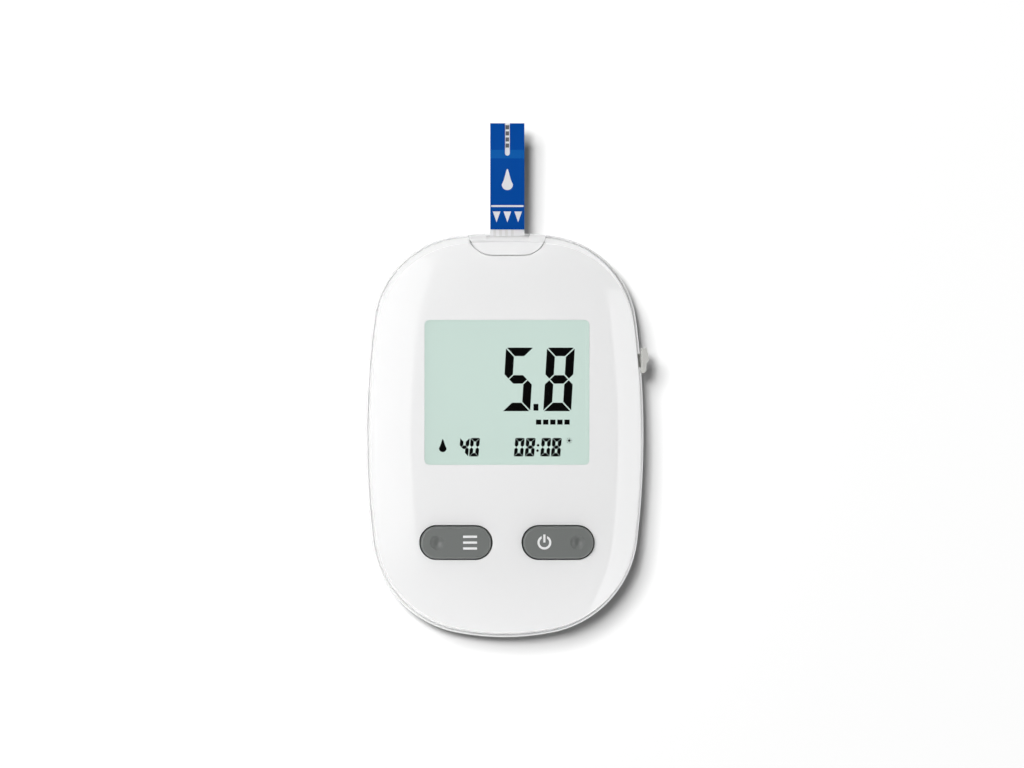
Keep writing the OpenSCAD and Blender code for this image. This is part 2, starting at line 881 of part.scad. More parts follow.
module switch_bases() {
    color("dimgray")
        at_buttons()
            difference() {
                translate([0, 0, board_top])
                    box(switch_w, switch_w, switch_h);
                translate([0, 0, board_top + switch_floor])
                    cylinder(d = plunger_d + 2*plunger_fit, h = switch_h);
            }
}

// Strip port

module strip_connector() {
    color("ivory")
        translate([port_x, connector_y + connector_l/2, 0])
            difference() {
                translate([0, 0, board_top])
                    box(
                        strip_w + 2*slot_gap + 2*connector_side,
                        connector_l,
                        connector_roof_z + connector_roof - board_top
                    );
                translate([0, 0, slot_floor_z])
                    box(strip_w + 2*slot_gap, connector_l + 2*past, connector_roof_z - slot_floor_z);
            }
}

module strip_contacts() {
    beam_z = connector_roof_z - contact_t;
    nose_r = (beam_z + contact_t - strip_z - strip_base_t - 2*electrode_t)/2;
    leg_y = strip_end_y - neck_gap - contact_t;
    color("gold")
        for (i = [0:contact_count - 1])
            translate([contact_x(i), 0, 0]) {
                translate([-contact_w/2, leg_y, beam_z])
                    cube([contact_w, connector_y + connector_l - fit - leg_y, contact_t]);
                translate([-contact_w/2, leg_y, board_top])
                    cube([contact_w, contact_t, beam_z - board_top]);
                translate([-contact_w/2, connector_y + connector_l/2, beam_z + contact_t - nose_r])
                    rotate([0, 90, 0])
                        cylinder(r = nose_r, h = contact_w);
            }
}

// The contact springs fill the strip's width left of the ejector's finger
function contact_x(i) =
    port_x - strip_w/2 + 0.7 + contact_w/2 + i*contact_pitch;

// Test strip

module strip_base() {
    color("white")
        translate([port_x - strip_w/2, strip_end_y, strip_z])
            cube([strip_w, strip_l, strip_base_t]);
}

module strip_film() {
    film_l = strip_tip_y - strip_film_y;
    color("royalblue")
        translate([port_x, strip_film_y, strip_z + strip_base_t])
            linear_extrude(strip_film_t)
                difference() {
                    translate([-strip_w/2, 0])
                        square([strip_w, film_l]);
                    translate([-channel_w/2, film_l - channel_l + channel_w/2])
                        square([channel_w, channel_l]);
                    translate([0, film_l - channel_l + channel_w/2])
                        circle(d = channel_w);
                }
}

module strip_electrodes() {
    bar_l = 0.9;
    bar_pitch = 1.35;
    color("dimgray")
        translate([0, 0, strip_z + strip_base_t]) {
            for (i = [0:contact_count - 1])
                translate([contact_x(i) - contact_w/2, strip_end_y + neck_gap, 0])
                    cube([contact_w, strip_film_y - strip_end_y - neck_gap, electrode_t]);
            for (i = [0:3])
                translate([port_x - channel_w*0.35, strip_tip_y - (i + 1)*bar_pitch, 0])
                    cube([channel_w*0.7, bar_l, electrode_t]);
        }
}

// Buttons

// A cap's half section, from its collar to its chamfered top, turned round each end
module button_section() {
    r = button_w/2;
    top = case_t + button_rise;
    polygon([
        [0, collar_z],
        [r + collar_w, collar_z],
        [r + collar_w, collar_z + collar_t],
        [r, collar_z + collar_t],
        [r, top - button_edge],
        [r - button_edge, top],
        [0, top]
    ]);
}

module button_cap() {
    straight = button_l - button_w;
    foot_r = 2;
    for (side = [-1, 1])
        translate([side*straight/2, 0, 0])
            rotate_extrude()
                button_section();
    translate([-straight/2, 0, 0])
        rotate([90, 0, 90])
            linear_extrude(straight) {
                button_section();
                mirror([1, 0])
                    button_section();
            }
    translate([0, 0, plunger_top])
        cylinder(r = foot_r, h = collar_z - plunger_top + collar_t/2);
}

// side is -1 for the left button and 1 for the right one
module button(side) {
    dimple_r = (dimple_d^2/4 + dimple_depth^2)/(2*dimple_depth);
    color("gray")
        translate([side*button_x, -button_y, 0])
            difference() {
                button_cap();
                translate([side*(button_l - button_w)/2, 0, case_t + button_rise - dimple_depth + dimple_r])
                    sphere(dimple_r);
                translate([-side*icon_x, 0, case_t + button_rise - icon_t])
                    linear_extrude(past)
                        button_icon(side);
            }
}

module icon(side) {
    color("white")
        translate([side*(button_x - icon_x), -button_y, case_t + button_rise - icon_t])
            linear_extrude(icon_t)
                button_icon(side);
}

// Three list bars on the left button, an on-off ring on the right one
module button_icon(side) {
    if (side < 0)
        for (row = [-1:1])
            translate([0, row*(icon_h - icon_line)/2])
                square([icon_h, icon_line], center = true);
    else {
        difference() {
            circle(d = icon_h);
            circle(d = icon_h - 2*icon_line);
            translate([-icon_line*1.2, 0])
                square([icon_line*2.4, icon_h]);
        }
        translate([-icon_line/2, 0])
            square([icon_line, icon_h/2 + icon_line/2]);
    }
}

module plunger(side) {
    base = board_top + switch_floor + button_travel + fit;
    color("black")
        translate([side*button_x, -button_y, base])
            cylinder(d = plunger_d, h = plunger_top - base);
}

module button_left() { button(-1); }
module icon_left() { icon(-1); }
module plunger_left() { plunger(-1); }
module button_right() { button(1); }
module icon_right() { icon(1); }
module plunger_right() { plunger(1); }

// Ejector

module ejector_slider() {
    catch_in_x = case_w/2 - crease_in;
    catch_x = case_w/2 + catch_out;
    grip_step = 0.6;
    grip_y = 0.1;
    end_chamfer = 0.5;
    color("lightgray") {
        translate([0, 0, arm_z])
            linear_extrude(arm_t)
                union() {
                    polygon([
                        [rail_x, slide_plate_y],
                        [slide_plate_x, slide_plate_y],
                        [slide_plate_x, slide_plate_y + slide_plate_l],
                        [rail_x + arm_w, slide_plate_y + slide_plate_l],
                        [rail_x + arm_w, bar_y + arm_w*0.25],
                        [rail_x + arm_w*0.25, bar_y + arm_w],
                        [finger_x, bar_y + arm_w],
                        [finger_x, bar_y],
                        [rail_x, bar_y]
                    ]);
                    translate([finger_x, bar_y])
                        square([finger_w, strip_end_y - neck_gap - bar_y]);
                    translate([slide_plate_x - fit, catch_y - neck_w/2])
                        square([catch_in_x - slide_plate_x + 2*fit, neck_w]);
                }
        translate([0, catch_y, arm_mid_z - catch_h/2])
            linear_extrude(catch_h)
                polygon([
                    [catch_in_x, -catch_l/2],
                    [catch_x - grip_step - end_chamfer, -catch_l/2],
                    [catch_x - grip_step, -catch_l/2 + end_chamfer],
                    [catch_x - grip_step, grip_y - 0.8],
                    [catch_x, grip_y],
                    [catch_x - end_chamfer, catch_l/2],
                    [catch_in_x, catch_l/2]
                ]);
    }
}

module ejector_spring() {
    wire_d = 0.3;
    color("silver")
        translate([spring_x, spring_y + fit, board_top + spring_d/2 + 2*fit])
            rotate([-90, 0, 0])
                difference() {
                    cylinder(d = spring_d, h = spring_l - 2*fit);
                    translate([0, 0, -past])
                        cylinder(d = spring_d - 2*wire_d, h = spring_l + 2*past);
                }
}

// Batteries

// dir is 1 where the nub points right
module cell(dir, y) {
    translate([dir*cell_x, -y, cell_z])
        rotate([0, dir*90, 0])
            translate([0, 0, -cell_l/2]) {
                cylinder(d = cell_d, h = cell_l - nub_l);
                cylinder(d = nub_d, h = cell_l);
            }
}

module battery_port() {
    color("goldenrod")
        cell(1, room_y + cell_gap + cell_d/2);
}

module battery_foot() {
    color("goldenrod")
        cell(-1, room_y + 2*cell_gap + cell_d*1.5);
}

module at_cells() {
    for (i = [0, 1])
        translate([0, -room_y - (i + 1)*cell_gap - (i + 0.5)*cell_d, cell_z])
            rotate(i*180)
                children();
}

module battery_plates() {
    color("silver")
        at_cells()
            for (side = [-1, 1])
                translate([side*(room_l/2 - plate_t/2), 0, -plate_w/2])
                    box(plate_t, plate_w, plate_w);
}

module battery_springs() {
    base_d = 7;
    tip_d = 4.6;
    wire_d = 0.6;
    color("silver")
        at_cells()
            translate([-room_l/2 + plate_t, 0, 0])
                rotate([0, 90, 0])
                    difference() {
                        cylinder(d1 = base_d, d2 = tip_d, h = cell_spring_l);
                        translate([0, 0, -past/4])
                            cylinder(
                                d1 = base_d - 2*wire_d,
                                d2 = tip_d - 2*wire_d,
                                h = cell_spring_l + past/2
                            );
                    }
}

module battery_door() {
    color("whitesmoke")
        difference() {
            union() {
                translate([0, (door_hinge_y + door_foot_y)/2, door_sink])
                    box(door_w, door_hinge_y - door_foot_y, door_t);
                translate([0, door_hinge_y, door_hinge_z])
                    rotate([0, 90, 0]) {
                        cylinder(d = door_t, h = door_w, center = true);
                        cylinder(r = door_pin_r, h = door_w + 2*door_pin_l, center = true);
                    }
            }
            nail_notch();
        }
}

// The hollow for a fingernail, half in the door and half in the rear cover
module nail_notch() {
    translate([0, door_foot_y - door_gap, -nail_down])
        rotate([0, 90, 0])
            cylinder(r = nail_r, h = nail_w, center = true);
}

front_cover();
rear_cover();
port_cover();
window_lens();
lcd_panel();
lcd_frame();
zebra_connectors();
main_board();
processor();
measuring_chip();
crystal();
buzzer();
strip_connector();
strip_contacts();
switch_bases();
battery_port();
battery_foot();
battery_springs();
battery_plates();
case_screws();
board_screws();
rating_label();
button_left();
icon_left();
plunger_left();
button_right();
icon_right();
plunger_right();
ejector_slider();
ejector_spring();
strip_base();
strip_film();
strip_electrodes();
battery_door();
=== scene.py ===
import math
import bmesh
import bpy
from mathutils import Matrix


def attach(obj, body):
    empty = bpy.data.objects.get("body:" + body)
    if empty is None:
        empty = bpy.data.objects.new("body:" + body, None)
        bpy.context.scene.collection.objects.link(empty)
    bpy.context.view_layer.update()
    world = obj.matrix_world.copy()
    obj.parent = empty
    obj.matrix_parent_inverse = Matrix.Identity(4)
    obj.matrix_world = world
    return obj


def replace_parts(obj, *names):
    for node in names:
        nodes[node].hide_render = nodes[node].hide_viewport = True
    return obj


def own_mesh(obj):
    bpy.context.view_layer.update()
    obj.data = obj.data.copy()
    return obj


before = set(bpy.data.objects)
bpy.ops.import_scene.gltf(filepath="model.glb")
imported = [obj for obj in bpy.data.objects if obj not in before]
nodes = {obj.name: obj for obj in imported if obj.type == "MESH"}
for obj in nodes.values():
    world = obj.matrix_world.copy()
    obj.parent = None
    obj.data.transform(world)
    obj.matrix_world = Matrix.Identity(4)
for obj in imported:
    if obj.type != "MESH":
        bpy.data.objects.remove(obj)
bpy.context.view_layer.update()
bpy.ops.object.select_all(action="DESELECT")

# ---- Studio ------------------------------------------------------------------------------
# The meter lies on its back on a white table. The camera hangs almost straight above it, a
# little to its left. Softboxes all round and one below light the meter alone, and two high
# above light the table alone and give it the meter's soft shadow.
aim = (0.00165, 0.01136, 0.010)
tilt = math.radians(2.9)
reach = 2.5
sensor_width, view_width = 36, 0.22811
bpy.ops.object.camera_add(
    location=(aim[0] - reach * math.sin(tilt), aim[1], aim[2] + reach * math.cos(tilt)),
    rotation=(0, -tilt, 0),
)
camera = bpy.context.object
camera.data.sensor_width = sensor_width
camera.data.lens = sensor_width * reach / view_width
camera.data.clip_end = 20
bpy.context.scene.camera = camera
bpy.context.scene.view_settings.view_transform = "Standard"


def softbox(name, location, turn, width, length, watts):
    """A rectangular lamp that shines down its own axis, turned by degrees from straight down."""
    bpy.ops.object.light_add(
        type="AREA", location=location, rotation=[math.radians(angle) for angle in turn]
    )
    lamp = bpy.context.object
    lamp.name = name
    lamp.data.shape = "RECTANGLE"
    lamp.data.size = width
    lamp.data.size_y = length
    lamp.data.energy = watts
    return lamp


on_meter = [
    softbox("softbox_key", (-0.25, 0.10, 0.35), (-13.1, -35.5, 0), 0.25, 0.25, 1.05),
    softbox("softbox_left", (-0.492, 0.35, 0.685), (0, -34, 0), 0.467, 0.90, 2.4),
    softbox("softbox_right", (0.66, 0.03, 0.15), (0, 78.4, 0), 0.30, 1.20, 3.4),
    softbox("softbox_near", (0.03, -0.66, 0.15), (78.4, 0, 0), 1.20, 0.30, 4.1),
    softbox("softbox_far", (0, 0.70, 0.20), (-75.2, 0, 0), 1.20, 0.40, 1.9),
    softbox("softbox_edge", (0.50, -0.14, 0.45), (0, 48, 0), 0.22, 0.90, 1.3),
]
# The left softbox goes on towards the foot as three weaker ones, so its reflection fades out.
for y, watts in ((-0.15, 0.20), (-0.25, 0.12), (-0.35, 0.06)):
    on_meter.append(softbox("softbox_fade", (-0.492, y, 0.685), (0, -34, 0), 0.467, 0.10, watts))
on_meter.append(softbox("softbox_below", (0, 0, -0.70), (180, 0, 0), 0.40, 0.40, 3.8))
# The glossy face and the window mirror only the left softboxes and the edge one.
for name in ("softbox_key", "softbox_right", "softbox_near", "softbox_far", "softbox_below"):
    bpy.data.objects[name].visible_glossy = False
    bpy.data.objects[name].visible_transmission = False
bpy.data.objects["softbox_edge"].visible_diffuse = False
on_table = [
    softbox("softbox_above", (-0.45, 0.36, 3.0), (-6.8, -8.5, 0), 0.36, 0.36, 99),
    softbox("softbox_soft", (-0.75, 0.66, 3.0), (-12, -14, 0), 0.78, 0.72, 152),
]

ambient = 0.04
world = bpy.data.worlds.new("studio")
bpy.context.scene.world = world
world.use_nodes = True
air = world.node_tree.nodes["Background"]
air.inputs["Color"].default_value = (1, 1, 1, 1)
path = world.node_tree.nodes.new("ShaderNodeLightPath")
bright = world.node_tree.nodes.new("ShaderNodeMath")
bright.operation = "MAXIMUM"
bright.inputs[1].default_value = ambient
world.node_tree.links.new(path.outputs["Is Camera Ray"], bright.inputs[0])
world.node_tree.links.new(bright.outputs[0], air.inputs["Strength"])

table_size, table_gap = 6, 0.0002
lit_white, seen_white = (0.2, 0.2, 0.2, 1), (0.4, 0.4, 0.4, 1)
bpy.ops.mesh.primitive_plane_add(size=table_size, location=(0, 0, -table_gap))
table = bpy.context.object
table.name = "table"
paper = bpy.data.materials.new("white_paper")
paper.use_nodes = True
tree = paper.node_tree
sheet = tree.nodes["Principled BSDF"]
sheet.inputs["Roughness"].default_value = 0.9
sheet.inputs["Specular IOR Level"].default_value = 0
path = tree.nodes.new("ShaderNodeLightPath")
mirrored = tree.nodes.new("ShaderNodeMath")
mirrored.operation = "MAXIMUM"
seen = tree.nodes.new("ShaderNodeMath")
seen.operation = "MAXIMUM"
shade = tree.nodes.new("ShaderNodeMix")
shade.data_type = "RGBA"
shade.inputs["A"].default_value = lit_white
shade.inputs["B"].default_value = seen_white
tree.links.new(path.outputs["Is Glossy Ray"], mirrored.inputs[0])
tree.links.new(path.outputs["Is Transmission Ray"], mirrored.inputs[1])
tree.links.new(path.outputs["Is Camera Ray"], seen.inputs[0])
tree.links.new(mirrored.outputs[0], seen.inputs[1])
tree.links.new(seen.outputs[0], shade.inputs["Factor"])
tree.links.new(shade.outputs["Result"], sheet.inputs["Base Color"])
# The table can be looked through, and lit through, from below.
facing = tree.nodes.new("ShaderNodeNewGeometry")
open_side = tree.nodes.new("ShaderNodeMath")
open_side.operation = "MAXIMUM"
clear_sheet = tree.nodes.new("ShaderNodeBsdfTransparent")
one_way = tree.nodes.new("ShaderNodeMixShader")
tree.links.new(facing.outputs["Backfacing"], open_side.inputs[0])
tree.links.new(path.outputs["Is Shadow Ray"], open_side.inputs[1])
tree.links.new(open_side.outputs[0], one_way.inputs[0])
tree.links.new(sheet.outputs[0], one_way.inputs[1])
tree.links.new(clear_sheet.outputs[0], one_way.inputs[2])
tree.links.new(one_way.outputs[0], tree.nodes["Material Output"].inputs["Surface"])
table.data.materials.append(paper)
for lamps, state in ((on_meter, "EXCLUDE"), (on_table, "INCLUDE")):
    group = bpy.data.collections.new("table_light_" + state.lower())
    group.objects.link(table)
    group.collection_objects[0].light_linking.link_state = state
    for lamp in lamps:
        lamp.light_linking.receiver_collection = group
bpy.ops.object.select_all(action="DESELECT")

# ---- Rear cover --------------------------------------------------------------------------
# The lower half of the case, moulded in glossy white ABS. Its rim shows as a thin line round
# the front cover. The battery room and the four screw posts are moulded on inside it.
half_length = 0.045
arcs = [  # centre, first and last angle in degrees, steps
    ((0, -0.045), 90, 83.286, 6),
    ((0.008008, 0.02303), 83.286, 7.413, 30),
    ((-0.169, 0), 7.413, -6.798, 18),
    ((0.006259, -0.020892), -6.798, -78.896, 30),
    ((0, 0.011), -78.896, -90, 6),
]


def pick(kind, test):
    """Selects the vertices, edges or faces that pass the test."""
    bpy.ops.mesh.select_mode(type=kind)
    bpy.ops.mesh.select_all(action="DESELECT")
    mesh = bmesh.from_edit_mesh(bpy.context.object.data)
    for part in {"VERT": mesh.verts, "EDGE": mesh.edges, "FACE": mesh.faces}[kind]:
        if test(part):
            part.select_set(True)
    bmesh.update_edit_mesh(bpy.context.object.data)


def named(name):
    """Names the new piece, and puts its place, turn and scale into its mesh."""
    piece = bpy.context.object
    piece.name = piece.data.name = name
    bpy.ops.object.transform_apply()
    return piece


def case_outline(name, inset, z):
    """Spins one point round the case's arcs, mirrors the line and fills it, in edit mode."""
    bpy.ops.mesh.primitive_plane_add(size=0.0001, location=(0, half_length - inset, z))
    piece = named(name)
    bpy.ops.object.mode_set(mode="EDIT")
    bpy.ops.mesh.select_mode(type="VERT")
    bpy.ops.mesh.merge(type="CENTER")
    for centre, start, end, steps in arcs:
        bpy.ops.mesh.spin(
            steps=steps, angle=math.radians(start - end), center=(*centre, z), axis=(0, 0, 1)
        )
    bpy.ops.object.mode_set(mode="OBJECT")
    halves = piece.modifiers.new("halves", "MIRROR")
    halves.merge_threshold = 0.00002
    bpy.ops.object.modifier_apply(modifier=halves.name)
    bpy.ops.object.mode_set(mode="EDIT")
    bpy.ops.mesh.select_all(action="SELECT")
    bpy.ops.mesh.edge_face_add()
    if bmesh.from_edit_mesh(piece.data).faces[:][0].normal.z < 0:
        bpy.ops.mesh.flip_normals()
    return piece


def rise(height):
    """Extrudes what is picked straight up, or down."""
    bpy.ops.mesh.extrude_region_move(TRANSFORM_OT_translate={"value": (0, 0, height)})


def steps_in(rings):
    """Insets the picked face by rings of (how far in, how far out along its normal)."""
    for inward, outward in rings:
        bpy.ops.mesh.inset(thickness=inward, depth=outward)


def pick_end(up):
    """Selects the piece's flat top, or its flat bottom, by its place."""
    mesh = bmesh.from_edit_mesh(bpy.context.object.data)
    faces = sorted(mesh.faces, key=lambda f: f.calc_center_median().z)
    end = faces[-1 if up else 0].index
    pick("FACE", lambda f: f.index == end)


def rounding(depth, width, count):
    """Rings round a quarter of an ellipse, from the wall over onto the flat."""
    turns = [math.radians(90 * i / count) for i in range(count + 1)]
    return [
        (width * (math.cos(a) - math.cos(b)), depth * (math.sin(b) - math.sin(a)))
        for a, b in zip(turns, turns[1:])
    ]


def made(piece, angle=30):
    """Leaves edit mode with all faces pointing out and shading smooth across the curves."""
    if bpy.context.object.mode == "EDIT":
        bpy.ops.mesh.select_all(action="SELECT")
        bpy.ops.mesh.remove_doubles(threshold=0.000002)
        bpy.ops.mesh.normals_make_consistent(inside=False)
        bpy.ops.object.mode_set(mode="OBJECT")
    bpy.context.view_layer.objects.active = piece
    bpy.ops.object.select_all(action="DESELECT")
    piece.select_set(True)
    bpy.ops.object.shade_smooth_by_angle(angle=math.radians(angle))
    level = piece.modifiers.new("level", "WEIGHTED_NORMAL")
    level.keep_sharp = True
    bpy.ops.object.modifier_apply(modifier=level.name)
    bpy.ops.object.select_all(action="DESELECT")
    return piece


def cut(piece, tool, how="DIFFERENCE"):
    """Cuts the tool out of the piece, or joins it on, and throws the tool away."""
    bpy.ops.object.select_all(action="DESELECT")
    bpy.context.view_layer.objects.active = piece
    step = piece.modifiers.new("cut", "BOOLEAN")
    step.operation = how
    step.solver = "EXACT"
    step.object = tool
    bpy.ops.object.modifier_apply(modifier=step.name)
    bpy.data.objects.remove(tool)


def keep_shading(piece, shell):
    """Gives the cut piece the uncut shell's smooth shading, wherever it still has that skin."""
    bpy.context.view_layer.objects.active = piece
    step = piece.modifiers.new("shading", "DATA_TRANSFER")
    step.object = shell
    step.use_loop_data = True
    step.data_types_loops = {"CUSTOM_NORMAL"}
    step.loop_mapping = "POLYINTERP_LNORPROJ"
    step.use_max_distance = True
    step.max_distance = 0.00002
    bpy.ops.object.modifier_apply(modifier=step.name)


def block(x, y, z, corner=0, steps=8):
    """A cutting tool: a box between two places on each axis, with its upright edges rounded."""
    bpy.ops.mesh.primitive_cube_add(
        size=1,
        location=((x[0] + x[1]) / 2, (y[0] + y[1]) / 2, (z[0] + z[1]) / 2),
        scale=(x[1] - x[0], y[1] - y[0], z[1] - z[0]),
    )
    tool = named("tool")
    if corner:
        bpy.ops.object.mode_set(mode="EDIT")
        pick("EDGE", lambda e: abs(e.verts[0].co.z - e.verts[1].co.z) > 1e-6)
        bpy.ops.mesh.bevel(offset=corner, segments=steps, affect="EDGES")
        bpy.ops.mesh.select_all(action="SELECT")
        bpy.ops.mesh.remove_doubles(threshold=0.000002)
        bpy.ops.object.mode_set(mode="OBJECT")
    return tool


def rod(radius, ends, x=None, y=None, z=None):
    """A cutting tool: a cylinder along the axis that isn't given."""
    mid = (ends[0] + ends[1]) / 2
    turn = (0, math.pi / 2, 0) if x is None else (math.pi / 2, 0, 0) if y is None else (0, 0, 0)
    bpy.ops.mesh.primitive_cylinder_add(
        vertices=48,
        radius=radius,
        depth=ends[1] - ends[0],
        location=[mid if v is None else v for v in (x, y, z)],
        rotation=turn,
    )
    return named("tool")


joint_z = 0.010
back_height, back_width = 0.005, 0.004
rim_height, rim_width = 0.0004, 0.00047
seam = (0.00003, -0.00015)
wall, floor_width = 0.0016, 0.004
rear = case_outline("rear_cover_shell", 0, back_height)
rise(joint_z - back_height - rim_height)
steps_in(rounding(rim_height, rim_width, 5) + [seam])
pick_end(False)
steps_in(rounding(back_height, back_width, 10))
made(rear)
hollow = case_outline("hollow", wall, wall + floor_width)
rise(0.006)
pick_end(False)
steps_in(rounding(floor_width, floor_width, 8))
made(hollow)
screw_places = [
    (side * x, y) for side in (-1, 1) for x, y in ((0.014812, 0.037622), (0.017402, -0.035155))
]
post_radius, shank_radius, head_radius = 0.0026, 0.0011, 0.0019
shank_top, head_top = 0.011, 0.003
outside = -0.001  # a height just below the back
room_shell = ((-0.0254, 0.0254), (-0.0259, -0.002), (0.001, 0.0137))
room = ((-0.0244, 0.0244), (-0.0249, -0.003), (0.0017, 0.0127))
door_opening = ((-0.0237, 0.0237), (-0.0264, -0.0022), (outside, 0.00175))
hinge_y, hinge_z, pin_bore, pin_reach = -0.0031, 0.0009, 0.0005, 0.0246
nail_radius, nail_reach, nail_y, nail_z = 0.0016, 0.006, -0.0264, -0.0006
label_x, label_y, label_depth, label_corner = (-0.019, 0.019), (0.006, 0.031), 0.00025, 0.002
for x, y in screw_places:
    cut(hollow, rod(post_radius, (outside, 0.02), x=x, y=y))
cut(rear, hollow)
cut(rear, block(*room_shell), "UNION")
cut(rear, block(*room))
cut(rear, block(*door_opening))
cut(rear, rod(pin_bore, (-pin_reach, pin_reach), y=hinge_y, z=hinge_z))
cut(rear, rod(nail_radius, (-nail_reach, nail_reach), y=nail_y, z=nail_z))
cut(rear, block(label_x, label_y, (outside, label_depth), corner=label_corner))
for x, y in screw_places:
    cut(rear, rod(shank_radius, (outside, shank_top), x=x, y=y))
    cut(rear, rod(head_radius, (outside, head_top), x=x, y=y))
made(rear)

flow_scale, grain_scale, grain_lift = 60, 1800, 0.00002
skin = bpy.data.node_groups.new("moulded_skin", "ShaderNodeTree")
for name, value in (("Flow Scale", flow_scale), ("Grain Scale", grain_scale)):
    socket = skin.interface.new_socket(name, in_out="INPUT", socket_type="NodeSocketFloat")
    socket.default_value = value
for name in ("Tint", "Polish", "Height"):
    skin.interface.new_socket(name, in_out="OUTPUT", socket_type="NodeSocketFloat")
group_in = skin.nodes.new("NodeGroupInput")
group_out = skin.nodes.new("NodeGroupOutput")
place = skin.nodes.new("ShaderNodeTexCoord")
noises = (("Tint", "Flow Scale", 2), ("Polish", "Flow Scale", 5), ("Height", "Grain Scale", 1))
for output, scale, detail in noises:
    noise = skin.nodes.new("ShaderNodeTexNoise")
    noise.inputs["Detail"].default_value = detail
    skin.links.new(place.outputs["Object"], noise.inputs["Vector"])
    skin.links.new(group_in.outputs[scale], noise.inputs["Scale"])
    skin.links.new(noise.outputs["Fac"], group_out.inputs[output])


def plastic(name, light, dark, rough, bump=0.05, grain=grain_scale):
    """A moulded plastic: its tint and polish drift a little, over a very fine skin."""
    material = bpy.data.materials.new(name)
    material.use_nodes = True
    tree = material.node_tree
    surface = tree.nodes["Principled BSDF"]
    surface.inputs["IOR"].default_value = 1.5
    made_by = tree.nodes.new("ShaderNodeGroup")
    made_by.node_tree = skin
    made_by.inputs["Grain Scale"].default_value = grain
    tint = tree.nodes.new("ShaderNodeMix")
    tint.data_type = "RGBA"
    tint.inputs["A"].default_value = (*light, 1)
    tint.inputs["B"].default_value = (*dark, 1)
    polish = tree.nodes.new("ShaderNodeMapRange")
    polish.inputs["From Min"].default_value = 0.3
    polish.inputs["From Max"].default_value = 0.7
    polish.inputs["To Min"].default_value = rough[0]
    polish.inputs["To Max"].default_value = rough[1]
    relief = tree.nodes.new("ShaderNodeBump")
    relief.inputs["Strength"].default_value = bump
    relief.inputs["Distance"].default_value = grain_lift
    tree.links.new(made_by.outputs["Tint"], tint.inputs["Factor"])
    tree.links.new(tint.outputs["Result"], surface.inputs["Base Color"])
    tree.links.new(made_by.outputs["Polish"], polish.inputs["Value"])
    tree.links.new(polish.outputs["Result"], surface.inputs["Roughness"])
    tree.links.new(made_by.outputs["Height"], relief.inputs["Height"])
    tree.links.new(relief.outputs["Normal"], surface.inputs["Normal"])
    return material


def paint(piece, material):
    """Gives the piece this one material, in place of any other."""
    piece.data.materials.clear()
    piece.data.materials.append(material)


white_abs = plastic("white_abs", (0.905, 0.905, 0.907), (0.885, 0.886, 0.888), (0.03, 0.07))
paint(rear, white_abs)
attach(rear, "housing")
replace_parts(rear, "rear_cover")

# ---- Battery door ------------------------------------------------------------------------
# A plain door of the same white ABS, set in the flat back. It turns on two small pins at the
# edge nearest the display, and a fingernail opens it at its other edge.


def node_copy(node, name):
    """A copy of a node's own mesh, with its loose triangles merged into clean faces."""
    piece = bpy.data.objects.new(name, nodes[node].data.copy())
    piece.data.name = name
    bpy.context.scene.collection.objects.link(piece)
    bpy.ops.object.select_all(action="DESELECT")
    bpy.context.view_layer.objects.active = piece
    piece.select_set(True)
    bpy.ops.object.mode_set(mode="EDIT")
    bpy.ops.mesh.select_all(action="SELECT")
    bpy.ops.mesh.remove_doubles(threshold=0.000002)
    bpy.ops.mesh.dissolve_limited(angle_limit=math.radians(1))
    bpy.ops.object.mode_set(mode="OBJECT")
    return piece


def broken_edges(piece, width, angle=40):
    """Rounds the piece's sharp edges a little, and keeps its flat faces looking flat."""
    bpy.context.view_layer.objects.active = piece
    edges = piece.modifiers.new("edges", "BEVEL")
    edges.width = width
    edges.segments = 2
    edges.harden_normals = True
    edges.limit_method = "ANGLE"
    edges.angle_limit = math.radians(angle)
    bpy.ops.object.modifier_apply(modifier=edges.name)


edge_break = 0.00012
door = node_copy("battery_door", "battery_door_panel")
broken_edges(door, edge_break)
made(door)
paint(door, white_abs)
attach(door, "battery_door")
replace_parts(door, "battery_door")

# ---- Batteries ---------------------------------------------------------------------------
# Two AAA cells, head to tail. Each is a steel can rolled in at its ends, with a printed
# plastic sleeve shrunk over it: dark for most of its length, copper-coloured at the nub end.


def metal(name, light, dark, rough, along=(1, 1, 1)):
    """A drawn or rolled metal: fine streaks across its tint and polish."""
    material = bpy.data.materials.new(name)
    material.use_nodes = True
    tree = material.node_tree
    surface = tree.nodes["Principled BSDF"]
    surface.inputs["Metallic"].default_value = 1
    streaks = tree.nodes.new("ShaderNodeGroup")
    streaks.node_tree = drawn
    streaks.inputs["Run"].default_value = along
    tint = tree.nodes.new("ShaderNodeMix")
    tint.data_type = "RGBA"
    tint.inputs["A"].default_value = (*light, 1)
    tint.inputs["B"].default_value = (*dark, 1)
    polish = tree.nodes.new("ShaderNodeMapRange")
    polish.inputs["To Min"].default_value = rough[0]
    polish.inputs["To Max"].default_value = rough[1]
    tree.links.new(streaks.outputs["Streak"], tint.inputs["Factor"])
    tree.links.new(tint.outputs["Result"], surface.inputs["Base Color"])
    tree.links.new(streaks.outputs["Streak"], polish.inputs["Value"])
    tree.links.new(polish.outputs["Result"], surface.inputs["Roughness"])
    return material


